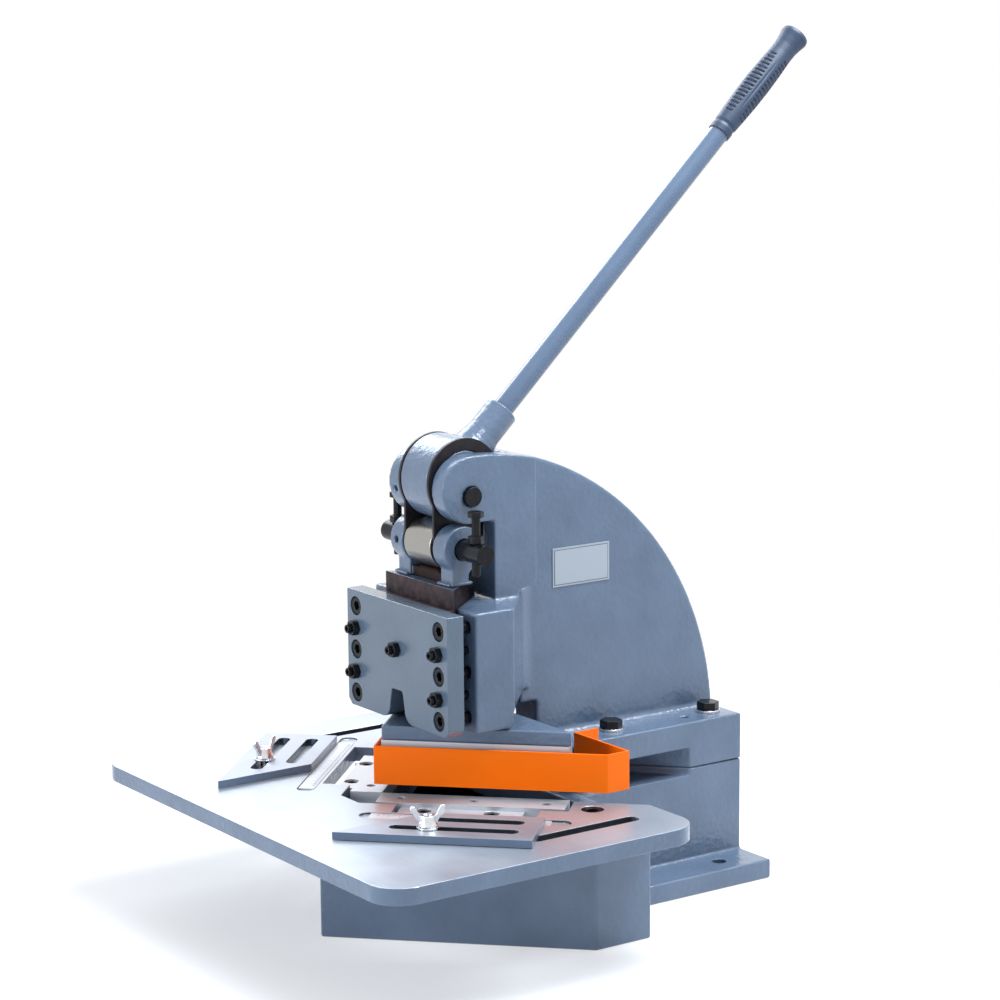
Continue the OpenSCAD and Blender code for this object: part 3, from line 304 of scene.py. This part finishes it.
def ground_steel(name, base, dark, roughness, across=1.2, along=90, turn=0.0, metallic=1.0):
    """Surface-ground steel: fine straight scratches that stretch the highlights across them."""
    material, tree = new_material(name)
    where = add(tree, "ShaderNodeTexCoord").outputs["Object"]
    lay = add(tree, "ShaderNodeMapping", Vector=where, Rotation=(0, 0, turn))
    lay.inputs["Scale"].default_value = (1 / (along * mm), 1 / (across * mm), 1 / (across * mm))
    strokes = add(tree, "ShaderNodeTexNoise", Vector=lay.outputs[0], Scale=1.0, Detail=5.0,
                  Roughness=0.7)
    cloud = add(tree, "ShaderNodeTexNoise", Vector=where, Scale=1 / (70 * mm), Detail=2.0)
    colour = add(tree, "ShaderNodeMix", {"data_type": "RGBA"}, i0=strokes.outputs[0], i6=linear(dark),
                 i7=linear(base))
    rough = add(tree, "ShaderNodeMapRange", i0=cloud.outputs[0], i1=0.3, i2=0.7, i3=roughness - 0.05,
                i4=roughness + 0.07)
    bump = add(tree, "ShaderNodeBump", Strength=0.08, Distance=0.1 * mm, Height=strokes.outputs[0])
    shader = add(tree, "ShaderNodeBsdfPrincipled", Base_Color=colour.outputs[2], Metallic=metallic,
                 Roughness=rough.outputs[0], Normal=bump.outputs[0])
    add(tree, "ShaderNodeOutputMaterial", Surface=shader.outputs[0])
    return material


looks_up = 0.7


def paint_edges(piece, paint, cut, reach):
    """Paints the faces that don't look up. The walls of slots and holes, which face another wall
    of the same piece within reach, get a near-black painted shade for the dark inside them."""
    mesh = piece.data
    mesh.materials.append(paint)
    mesh.materials.append(cut)
    tree = BVHTree.FromPolygons([v.co for v in mesh.vertices], [f.vertices for f in mesh.polygons])
    for face in mesh.polygons:
        if face.normal.z > looks_up:
            continue
        # A wall that faces another wall of the piece within reach gets the near-black painted slot shade
        hit = tree.ray_cast(face.center + face.normal * 0.05 * mm, face.normal, reach)
        face.material_index = 2 if hit[0] is not None else 1


# Ground plate: bright and streaked, it smears what it mirrors along the strokes
table_steel = ground_steel("surface_ground_mild_steel", "#c9ced5", "#aeb4bd", 0.36, metallic=0.76)
# Ground bar of the stops: the same, a shade greyer, with its strokes turned
stop_steel = ground_steel("ground_steel_bar", "#b6bac3", "#9da2ab", 0.38, turn=math.radians(45),
                          metallic=0.75)
# Slots cut with a torch: their walls near black and dull, a painted shade for the dark inside
slot_wall_shade = enamel("painted_shade_on_slot_walls", "#161b22", "#20262e", 1.0, 0.4, 0.5)
table_slot_reach = 32 * mm
stop_slot_reach = 20 * mm
paint_edges(rounded("work_table", table_steel, 0.8 * mm), cast_enamel, slot_wall_shade, table_slot_reach)
for side in ("left", "right"):
    paint_edges(rounded(side + "_stop", stop_steel, 0.6 * mm), cast_enamel, slot_wall_shade, stop_slot_reach)

# Die holders, blades and scale strips. Tool steel and bright flat bar, ground all over, screwed
# down along both cutting lines. The strips carry etched marks at 1, 5 and 10 mm.
# Ground tool steel: pale, with fine strokes and little mirror
blade_steel = ground_steel("ground_tool_steel", "#d6d8dc", "#babec4", 0.42, across=0.6, metallic=0.6)
for side in ("left", "right"):
    rounded(side + "_scale_strip", blade_steel, 0.2 * mm, 2)
    rounded(side + "_die_holder", blade_steel, 0.4 * mm, 2)
    rounded(side + "_lower_blade", blade_steel, 0.15 * mm, 2)
    rounded(side + "_upper_blade", blade_steel, 0.15 * mm, 2)
row_seed = 4
notch_corner_y = -267.3 * mm
cutting_angle = math.radians(45)
mark_start = 12
mark_z = 124.6


def row_tree():
    """Geometry nodes for a straight row of equal small shapes: round beads or square strokes"""
    tree = bpy.data.node_groups.new("row_of_shapes", "GeometryNodeTree")
    for name, kind in (("Count", "Int"), ("Start", "Vector"), ("Step", "Vector"), ("Size", "Vector"),
                       ("Round", "Bool"), ("Unevenness", "Float"), ("Seed", "Int"),
                       ("Material", "Material")):
        tree.interface.new_socket(name=name, in_out="INPUT", socket_type="NodeSocket" + kind)
    tree.interface.new_socket(name="Geometry", in_out="OUTPUT", socket_type="NodeSocketGeometry")
    given = add(tree, "NodeGroupInput").outputs
    line = add(tree, "GeometryNodeMeshLine", Count=given["Count"], Start_Location=given["Start"],
               Offset=given["Step"])
    bead = add(tree, "GeometryNodeMeshUVSphere", Segments=14, Rings=9, Radius=0.5)
    smooth = add(tree, "GeometryNodeSetShadeSmooth", Geometry=bead.outputs["Mesh"])
    stroke = add(tree, "GeometryNodeMeshCube", Size=(1, 1, 1))
    shape = add(tree, "GeometryNodeSwitch", {"input_type": "GEOMETRY"}, Switch=given["Round"],
                False_=stroke.outputs["Mesh"], True_=smooth.outputs[0])
    low = add(tree, "ShaderNodeMath", {"operation": "SUBTRACT"}, i0=1.0, i1=given["Unevenness"])
    uneven = add(tree, "FunctionNodeRandomValue", {"data_type": "FLOAT"}, i2=low.outputs[0], i3=1.0,
                 Seed=given["Seed"])
    size = add(tree, "ShaderNodeVectorMath", {"operation": "SCALE"}, i0=given["Size"],
               Scale=uneven.outputs[1])
    placed = add(tree, "GeometryNodeInstanceOnPoints", Points=line.outputs[0], Instance=shape.outputs[0],
                 Scale=size.outputs[0])
    real = add(tree, "GeometryNodeRealizeInstances", Geometry=placed.outputs[0])
    ready = add(tree, "GeometryNodeSetMaterial", Geometry=real.outputs[0], Material=given["Material"])
    add(tree, "NodeGroupOutput", Geometry=ready.outputs[0])
    return tree


def add_rows(name, body, material, rows, place=None):
    """One mesh of several rows. Each row is (count, start, step, size, round, unevenness) in mm."""
    tree = bpy.data.node_groups.get("row_of_shapes") or row_tree()
    keys = {item.name: item.identifier for item in tree.interface.items_tree if item.in_out == "INPUT"}
    work = bmesh.new()
    for count, start, step, size, is_round, unevenness in rows:
        host = link(bpy.data.objects.new(name, bpy.data.meshes.new(name)))
        modifier = host.modifiers.new("row", "NODES")
        modifier.node_group = tree
        values = {"Count": count, "Start": Vector(start) * mm, "Step": Vector(step) * mm,
                  "Size": Vector(size) * mm, "Round": is_round, "Unevenness": unevenness,
                  "Seed": row_seed, "Material": material}
        for key, value in values.items():
            modifier[keys[key]] = value
        ready = host.evaluated_get(bpy.context.evaluated_depsgraph_get())
        work.from_mesh(bpy.data.meshes.new_from_object(ready))
        bpy.data.objects.remove(host)
    if place is not None:
        work.transform(place)
        if place.determinant() < 0:
            bmesh.ops.reverse_faces(work, faces=work.faces)
    mesh = bpy.data.meshes.new(name)
    work.to_mesh(mesh)
    work.free()
    mesh.materials.append(material)
    piece = link(bpy.data.objects.new(name, mesh))
    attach(piece, body)
    return piece


# Etched and inked marks: matt black lines that hardly stand out
strip_ink = enamel("black_etching_ink", "#14161a", "#1d2025", 1.0, 0.05, 0.6)
mark_rows = [(151, (mark_start, -68.0, mark_z), (1, 0, 0), (0.2, 3, 0.05), False, 0.0),
             (31, (mark_start, -69.0, mark_z), (5, 0, 0), (0.24, 5, 0.06), False, 0.0),
             (16, (mark_start, -70.2, mark_z), (10, 0, 0), (0.3, 7.5, 0.07), False, 0.0)]
for side, sign in (("left", -1), ("right", 1)):
    beside_cut = Matrix.Diagonal((sign, 1, 1, 1)) @ Matrix.Translation((0, notch_corner_y, 0)) \
        @ Matrix.Rotation(cutting_angle, 4, "Z")
    strip = side + "_scale_strip"
    add_rows(side + "_scale_marks", body_of[strip], strip_ink, mark_rows, beside_cut)

# Screws, bolts, nuts and pins. Alloy steel, rolled or turned, blackened in a hot salt bath or
# plated with zinc, under a film of oil.


def plain_metal(name, base, wear, roughness, grain_mm, metallic=1.0, specular=0.5):
    """A turned or rolled metal finish: one tone with slow blotches of a second, worn tone."""
    material, tree = new_material(name)
    where = add(tree, "ShaderNodeTexCoord").outputs["Object"]
    blotch = add(tree, "ShaderNodeTexNoise", Vector=where, Scale=1 / (grain_mm * mm), Detail=5.0,
                 Roughness=0.65)
    share = add(tree, "ShaderNodeMapRange", i0=blotch.outputs[0], i1=0.42, i2=0.72, i3=0.0, i4=1.0)
    colour = add(tree, "ShaderNodeMix", {"data_type": "RGBA"}, i0=share.outputs[0], i6=linear(base),
                 i7=linear(wear))
    rough = add(tree, "ShaderNodeMapRange", i0=blotch.outputs[0], i1=0.3, i2=0.7, i3=roughness - 0.08,
                i4=roughness + 0.1)
    bump = add(tree, "ShaderNodeBump", Strength=0.12, Distance=0.2 * mm, Height=blotch.outputs[0])
    shader = add(tree, "ShaderNodeBsdfPrincipled", Base_Color=colour.outputs[2], Metallic=metallic,
                 Roughness=rough.outputs[0], Normal=bump.outputs[0], Specular_IOR_Level=specular)
    add(tree, "ShaderNodeOutputMaterial", Surface=shader.outputs[0])
    return material


# Hot-blackened steel: almost black, with a wet sheen from the oil
black_oxide = plain_metal("black_oxide_steel", "#0b0d11", "#171a20", 0.22, 9, 0.0, 0.25)
# Zinc plate: bright and silvery, with slightly cloudy reflections
zinc = plain_metal("bright_zinc_plate", "#d9dce0", "#eceef0", 0.26, 8)
for node in ("frame_bolts", "table_screws", "blade_screws", "die_clamp_screws", "cover_screws",
             "jack_screws", "jack_nuts", "gib_screw", "gib_nut", "pivot_pin", "pivot_set_screw",
             "guard_screws", "punch_holder_screws", "upper_blade_screws", "roller_pin",
             "roller_pin_set_screw", "stop_bolts", "stop_bolt_nuts", "locating_pins"):
    rounded(node, black_oxide, 0.5 * mm, 2)
for node in ("frame_washers", "die_adjusting_screws", "left_stop_washer", "right_stop_washer"):
    rounded(node, zinc, 0.4 * mm, 2)

# Studs and wing nuts of the stops. The stud is rolled steel and stands in the table. The wing
# nut is die cast, and both are zinc plated.
stud_end_above = 145 * mm
stud_shortened_by = 6.8 * mm
for side in ("left", "right"):
    stud = rounded(side + "_stop_stud", zinc, 0.4 * mm, 2)
    for vertex in stud.data.vertices:
        if vertex.co.z > stud_end_above:
            vertex.co.z -= stud_shortened_by
nut_place = Vector((140.36, -309.37, 134.6))
nut_ring = ((4.2, 0), (8.8, 0), (8.8, 1.0), (7.2, 4.5), (6.3, 9.6), (4.2, 9.6))
nut_wing = ((5.2, 1.5), (8.2, 3.0), (10.5, 7.0), (14.6, 12.6), (15.8, 16.4), (14.8, 18.4), (12.0, 18.2),
            (9.4, 14.2), (7.2, 9.6), (5.2, 8.6))
nut_wing_thick = 3.4
nut_span = Vector((0.367, 0.93, 0))


def build_wing_nut(side, sign):
    """Die-cast wing nut: a conical boss with two flat wings, all corners soft"""
    work = bmesh.new()
    turns = 40
    for j in range(turns):
        turn = math.tau * j / turns
        for radius, height in nut_ring:
            work.verts.new((radius * math.cos(turn), radius * math.sin(turn), height))
    work.verts.ensure_lookup_table()
    n = len(nut_ring)
    for j in range(turns):
        for i in range(n):
            a, b = j * n, (j + 1) % turns * n
            work.faces.new([work.verts[k] for k in (a + i, b + i, b + (i + 1) % n, a + (i + 1) % n)])
    half = nut_wing_thick / 2
    for way in (-1, 1):
        walls = [[work.verts.new(nut_span * way * u + Vector((-nut_span.y, nut_span.x, 0)) * t
                                 + Vector((0, 0, h))) for u, h in nut_wing] for t in (-half, half)]
        work.faces.new(walls[0])
        work.faces.new(reversed(walls[1]))
        for i in range(len(nut_wing)):
            k = (i + 1) % len(nut_wing)
            work.faces.new((walls[0][i], walls[1][i], walls[1][k], walls[0][k]))
    bmesh.ops.recalc_face_normals(work, faces=work.faces)
    work.transform(Matrix.Diagonal((sign, 1, 1, 1)) @ Matrix.Translation(nut_place * mm)
                   @ Matrix.Scale(mm, 4))
    bmesh.ops.recalc_face_normals(work, faces=work.faces)
    mesh = bpy.data.meshes.new(side + "_wing_nut_finished")
    work.to_mesh(mesh)
    work.free()
    mesh.materials.append(zinc)
    piece = link(bpy.data.objects.new(mesh.name, mesh))
    remesh = piece.modifiers.new("skin", "REMESH")
    remesh.mode = "VOXEL"
    remesh.voxel_size = 0.35 * mm
    remesh.use_smooth_shade = True
    soft = piece.modifiers.new("soft", "SMOOTH")
    soft.iterations = 5
    settle(piece, side + "_wing_nut")


build_wing_nut("left", -1)
build_wing_nut("right", 1)

# Ram with its gib plate and punch holder. A milled steel block with heat tints on its bare
# faces slides in the housing, and the holder under it carries the upper blades.
# Hot-rolled steel: dark brown and violet patches with a dull sheen
mill_scale = plain_metal("heat_tinted_steel", "#2e2930", "#5a423f", 0.42, 9, 0.5, 0.4)


def paint_tops(piece, paint):
    """Gives every face that looks up a second material"""
    piece.data.materials.append(paint)
    for face in piece.data.polygons:
        face.material_index = 1 if face.normal.z > looks_up else 0


rounded("gib_plate", mill_scale, 0.6 * mm, 2)
paint_tops(rounded("ram_block", mill_scale, 0.7 * mm, 2), cast_enamel)
rounded("punch_holder", cast_enamel, 1.8 * mm)

# Ears of the ram. Two ears flame cut from plate and a low bridge between them, welded to the
# top of the block. The welds were primed, and the ears then sprayed with the frame's enamel. The
# faces between the ears and the bead on the bridge keep a red-brown primer, darkened to near black
# as painted shade for the hollow under the roller.
ears = rounded("clevis_ears", cast_enamel, 1.5 * mm)
ears_inner_x = 25 * mm
bridge_top_z = 329 * mm
ear_foot_z = 320.2
bead_step = 1.15


def paint_where(piece, material, test):
    """Gives a second material to the faces whose centre passes the test"""
    piece.data.materials.append(material)
    for face in piece.data.polygons:
        if test(face):
            face.material_index = len(piece.data.materials) - 1


# Primer over a weld: dull red brown, mottled where it is thin, and darkened to near black as
# painted shade for the hollow between the ears under the roller
dark_primer_and_shade = plain_metal("red_brown_primer_and_painted_shade_between_ears", "#1c1111", "#3a221e", 0.6, 5, 0.0, 0.2)
# The faces between the ears, below the bridge's top, get the primer with its painted shade
paint_where(ears, dark_primer_and_shade, lambda face: abs(face.center.x) < ears_inner_x and face.center.z < bridge_top_z)
weld_rows = []
for x in (-44.6, 44.6):
    weld_rows.append((17, (x, -216.7, ear_foot_z), (0, bead_step, 0), (3.6, 2.8, 3.4), True, 0.2))
for x in (-44.0, 26.5):
    for y in (-219.0, -196.0):
        weld_rows.append((16, (x, y, ear_foot_z), (bead_step, 0, 0), (2.8, 4.4, 3.4), True, 0.2))
add_rows("ear_welds", body_of["clevis_ears"], cast_enamel, weld_rows)
# The bead on the bridge carries the same primer and painted shade
add_rows("bridge_weld", body_of["clevis_ears"], dark_primer_and_shade,
         [(28, (-15.5, -207, 327.4), (bead_step, 0, 0), (3.0, 13, 4.8), True, 0.1)])

# Side links, roller and bush. The links are cut from hot-rolled plate, the roller is turned from
# bearing steel and polished, and the bush in the lever's hub is cast bronze.
# Blued scale of rolled plate: nearly black, with brown patches
link_scale = plain_metal("blued_mill_scale", "#121318", "#2a1d1e", 0.36, 12, 0.0, 0.35)
# Polished bearing steel: grey, mirroring, with fine rings
roller_steel = ground_steel("polished_bearing_steel", "#b9b8b4", "#8f8c88", 0.28, across=0.5, along=0.9)
# Bearing bronze: warm yellow brown, with a soft shine
bronze = plain_metal("bearing_bronze", "#a8804c", "#c39a62", 0.3, 6)
for side in ("left", "right"):
    rounded(side + "_side_link", link_scale, 0.5 * mm, 2)
rounded("roller", roller_steel, 0.8 * mm)
rounded("hub_bush", bronze, 0.3 * mm, 2)

# Guard. One strip of 2 mm sheet, sheared, bent four times and powder coated in a glossy
# safety orange, screwed to bosses on both sides of the frame's foot.


def powder_coat(name, base, light, roughness):
    """Powder coat: even, with a faint orange peel"""
    material, tree = new_material(name)
    where = add(tree, "ShaderNodeTexCoord").outputs["Object"]
    peel = add(tree, "ShaderNodeTexNoise", Vector=where, Scale=1 / (4 * mm), Detail=2.0)
    cloud = add(tree, "ShaderNodeTexNoise", Vector=where, Scale=1 / (90 * mm), Detail=1.0)
    colour = add(tree, "ShaderNodeMix", {"data_type": "RGBA"}, i0=cloud.outputs[0], i6=linear(base),
                 i7=linear(light))
    bump = add(tree, "ShaderNodeBump", Strength=0.12, Distance=0.3 * mm, Height=peel.outputs[0])
    shader = add(tree, "ShaderNodeBsdfPrincipled", Base_Color=colour.outputs[2], Roughness=roughness,
                 Normal=bump.outputs[0], Specular_IOR_Level=0.15)
    add(tree, "ShaderNodeOutputMaterial", Surface=shader.outputs[0])
    return material


# Thick powder coat: a full orange, even, with a soft gloss
orange_coat = powder_coat("safety_orange_powder_coat", "#ff6600", "#ff7600", 0.3)
rounded("guard", orange_coat, 0.4 * mm, 2)

# Lever. A cast hub and a solid steel rod, both under the same enamel as the castings, with a
# moulded rubber grip pushed over the end of the rod.
rounded("lever_hub", cast_enamel, 1.5 * mm)
# Enamel on drawn bar: no peel, so its glints run along the rod
rod_enamel = enamel("grey_blue_enamel_on_bar", "#4f6178", "#586b82", 6.0, 0.0, 0.4)
rounded("lever_rod", rod_enamel, 0.6 * mm)


def moulded_rubber(name, base, light):
    """Moulded rubber: dark grey, dry, with a fine matt texture from the mould."""
    material, tree = new_material(name)
    where = add(tree, "ShaderNodeTexCoord").outputs["Object"]
    grain = add(tree, "ShaderNodeTexNoise", Vector=where, Scale=1 / (2.2 * mm), Detail=2.0)
    colour = add(tree, "ShaderNodeMix", {"data_type": "RGBA"}, i0=grain.outputs[0], i6=linear(base),
                 i7=linear(light))
    bump = add(tree, "ShaderNodeBump", Strength=0.15, Distance=0.1 * mm, Height=grain.outputs[0])
    shader = add(tree, "ShaderNodeBsdfPrincipled", Base_Color=colour.outputs[2], Roughness=0.48,
                 Normal=bump.outputs[0], IOR=1.52)
    add(tree, "ShaderNodeOutputMaterial", Surface=shader.outputs[0])
    return material


# Blue-grey rubber: dull, with a broad pale sheen on its crests
grip_rubber = moulded_rubber("moulded_grip_rubber", "#263549", "#304158")
lever_turn = math.radians(43.7)
drum_centre = Vector((0, -189.0, 410.5)) * mm
grip_start = 436.0
grip_long = 132.0
grip_heights = (0, 6.6, 7.9, 9.9, 11.2, 26.4, 46.2, 66, 85.8, 105.6, 114.8, 122.8, 128.7, 132)
grip_radii = (11.1, 11.4, 10.4, 10.4, 11.4, 12.25, 12.95, 13.1, 12.55, 11.55, 11.7, 12.95, 14.25, 13.4)
grip_ring = 128
groove_angle = -22.0
panel_count = 4
slot_count = 17
slot_first = 22.5
slot_pitch = 4.7
slot_half = 1.0
slot_depth = 1.9
groove_ends = (24.0, 96.0)


def grip_radius(height):
    for low, high, a, b in zip(grip_heights, grip_heights[1:], grip_radii, grip_radii[1:]):
        if height <= high:
            return a + (b - a) * max(0.0, height - low) / (high - low)
    return grip_radii[-1]


def inside(value, half, soft):
    """1 within half of zero, 0 outside it, with a soft step between"""
    share = min(1.0, max(0.0, (half + soft / 2 - abs(value)) / soft))
    return share * share * (3 - 2 * share)


def grip_cut(height, angle):
    """How deep the slots and the grooves between the panels cut in at one place of the grip"""
    pitch = 360.0 / panel_count
    from_groove = (angle - groove_angle + pitch / 2) % pitch - pitch / 2
    from_middle = (angle - groove_angle) % pitch - pitch / 2
    number = min(slot_count - 1, max(0, round((height - slot_first) / slot_pitch)))
    along = height - slot_first - number * slot_pitch
    bulge = math.sin(math.pi * (number + 1.5) / (slot_count + 2))
    depth = slot_depth * inside(along, slot_half, 0.5) * inside(from_middle, 13 + 15 * bulge, 4)
    share = (height - groove_ends[0]) / (groove_ends[1] - groove_ends[0])
    if 0 < share < 1:
        lens = math.sin(math.pi * share)
        depth += 0.9 * lens * max(0.0, 1 - abs(from_groove) / (2.0 + 4.0 * lens))
    return depth


def build_grip():
    """The grip as one moulded skin, ring by ring from its collar to its flared end"""
    along = Vector((0, math.cos(lever_turn), math.sin(lever_turn)))
    across = Vector((1, 0, 0))
    third = along.cross(across)
    rings = [(0.0, 10.02, False)]
    steps = 300
    rings += [(grip_long * i / steps, None, True) for i in range(steps)]
    rings += [(grip_long - drop, radius, False) for drop, radius in
              ((0.15, 13.2), (0.05, 12.6), (0.0, 11.5), (0.0, 8.0), (0.0, 3.0))]
    points = []
    for height, radius, cut in rings:
        for j in range(grip_ring):
            angle = 360.0 * j / grip_ring
            soft = sum(grip_radius(height + d) for d in (-1.0, -0.5, 0.0, 0.5, 1.0)) / 5
            r = soft - grip_cut(height, angle) if cut else radius
            turn = math.radians(angle)
            points.append(drum_centre + along * (grip_start + height) * mm
                          + (across * math.cos(turn) + third * math.sin(turn)) * r * mm)
    faces = []
    for i in range(len(rings) - 1):
        for j in range(grip_ring):
            k = (j + 1) % grip_ring
            low, high = i * grip_ring, (i + 1) * grip_ring
            faces.append((low + j, low + k, high + k, high + j))
    faces.append(tuple((len(rings) - 1) * grip_ring + j for j in range(grip_ring)))
    mesh = bpy.data.meshes.new("hand_grip_finished")
    mesh.from_pydata(points, [], faces)
    for face in mesh.polygons:
        face.use_smooth = True
    mesh.materials.append(grip_rubber)
    settle(link(bpy.data.objects.new("hand_grip_finished", mesh)), "hand_grip")


build_grip()

# Label plate. A thin bare plate of lacquered aluminium on the right side of the web, white
# with a narrow grey rim.
plate_face_x = 18.0 * mm
plate_y = (-86 * mm, -20 * mm)
plate_z = (297 * mm, 334 * mm)
plate_thick = 0.8 * mm
plate_border = 1.6 * mm


def baked_lacquer(name, code, roughness):
    """Baked lacquer on thin aluminium: flat, even and slightly glossy."""
    material, tree = new_material(name)
    where = add(tree, "ShaderNodeTexCoord").outputs["Object"]
    grain = add(tree, "ShaderNodeTexNoise", Vector=where, Scale=1 / (12 * mm), Detail=2.0)
    rough = add(tree, "ShaderNodeMapRange", i0=grain.outputs[0], i3=roughness - 0.05,
                i4=roughness + 0.05)
    shader = add(tree, "ShaderNodeBsdfPrincipled", Base_Color=linear(code),
                 Roughness=rough.outputs[0])
    add(tree, "ShaderNodeOutputMaterial", Surface=shader.outputs[0])
    return material


def build_label_plate():
    work = bmesh.new()
    for inset, height, index in ((0.0, plate_thick, 0), (plate_border, plate_thick + 0.15 * mm, 1),
                                 (plate_border + 0.7 * mm, plate_thick + 0.3 * mm, 0)):
        corners = bmesh.ops.create_cube(work, size=1.0)["verts"]
        low = Vector((plate_face_x - 0.2 * mm, plate_y[0] + inset, plate_z[0] + inset))
        high = Vector((plate_face_x + height, plate_y[1] - inset, plate_z[1] - inset))
        for vertex in corners:
            vertex.co = Vector([low[i] + (high[i] - low[i]) * (vertex.co[i] + 0.5) for i in range(3)])
        for face in {face for vertex in corners for face in vertex.link_faces}:
            face.material_index = index
    mesh = bpy.data.meshes.new("label_plate")
    work.to_mesh(mesh)
    work.free()
    plate = link(bpy.data.objects.new("label_plate", mesh))
    mesh.materials.append(baked_lacquer("white_lacquer", "#9ea6ad", 0.4))
    mesh.materials.append(baked_lacquer("grey_line", "#5a6068", 0.4))
    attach(plate, "frame")


build_label_plate()
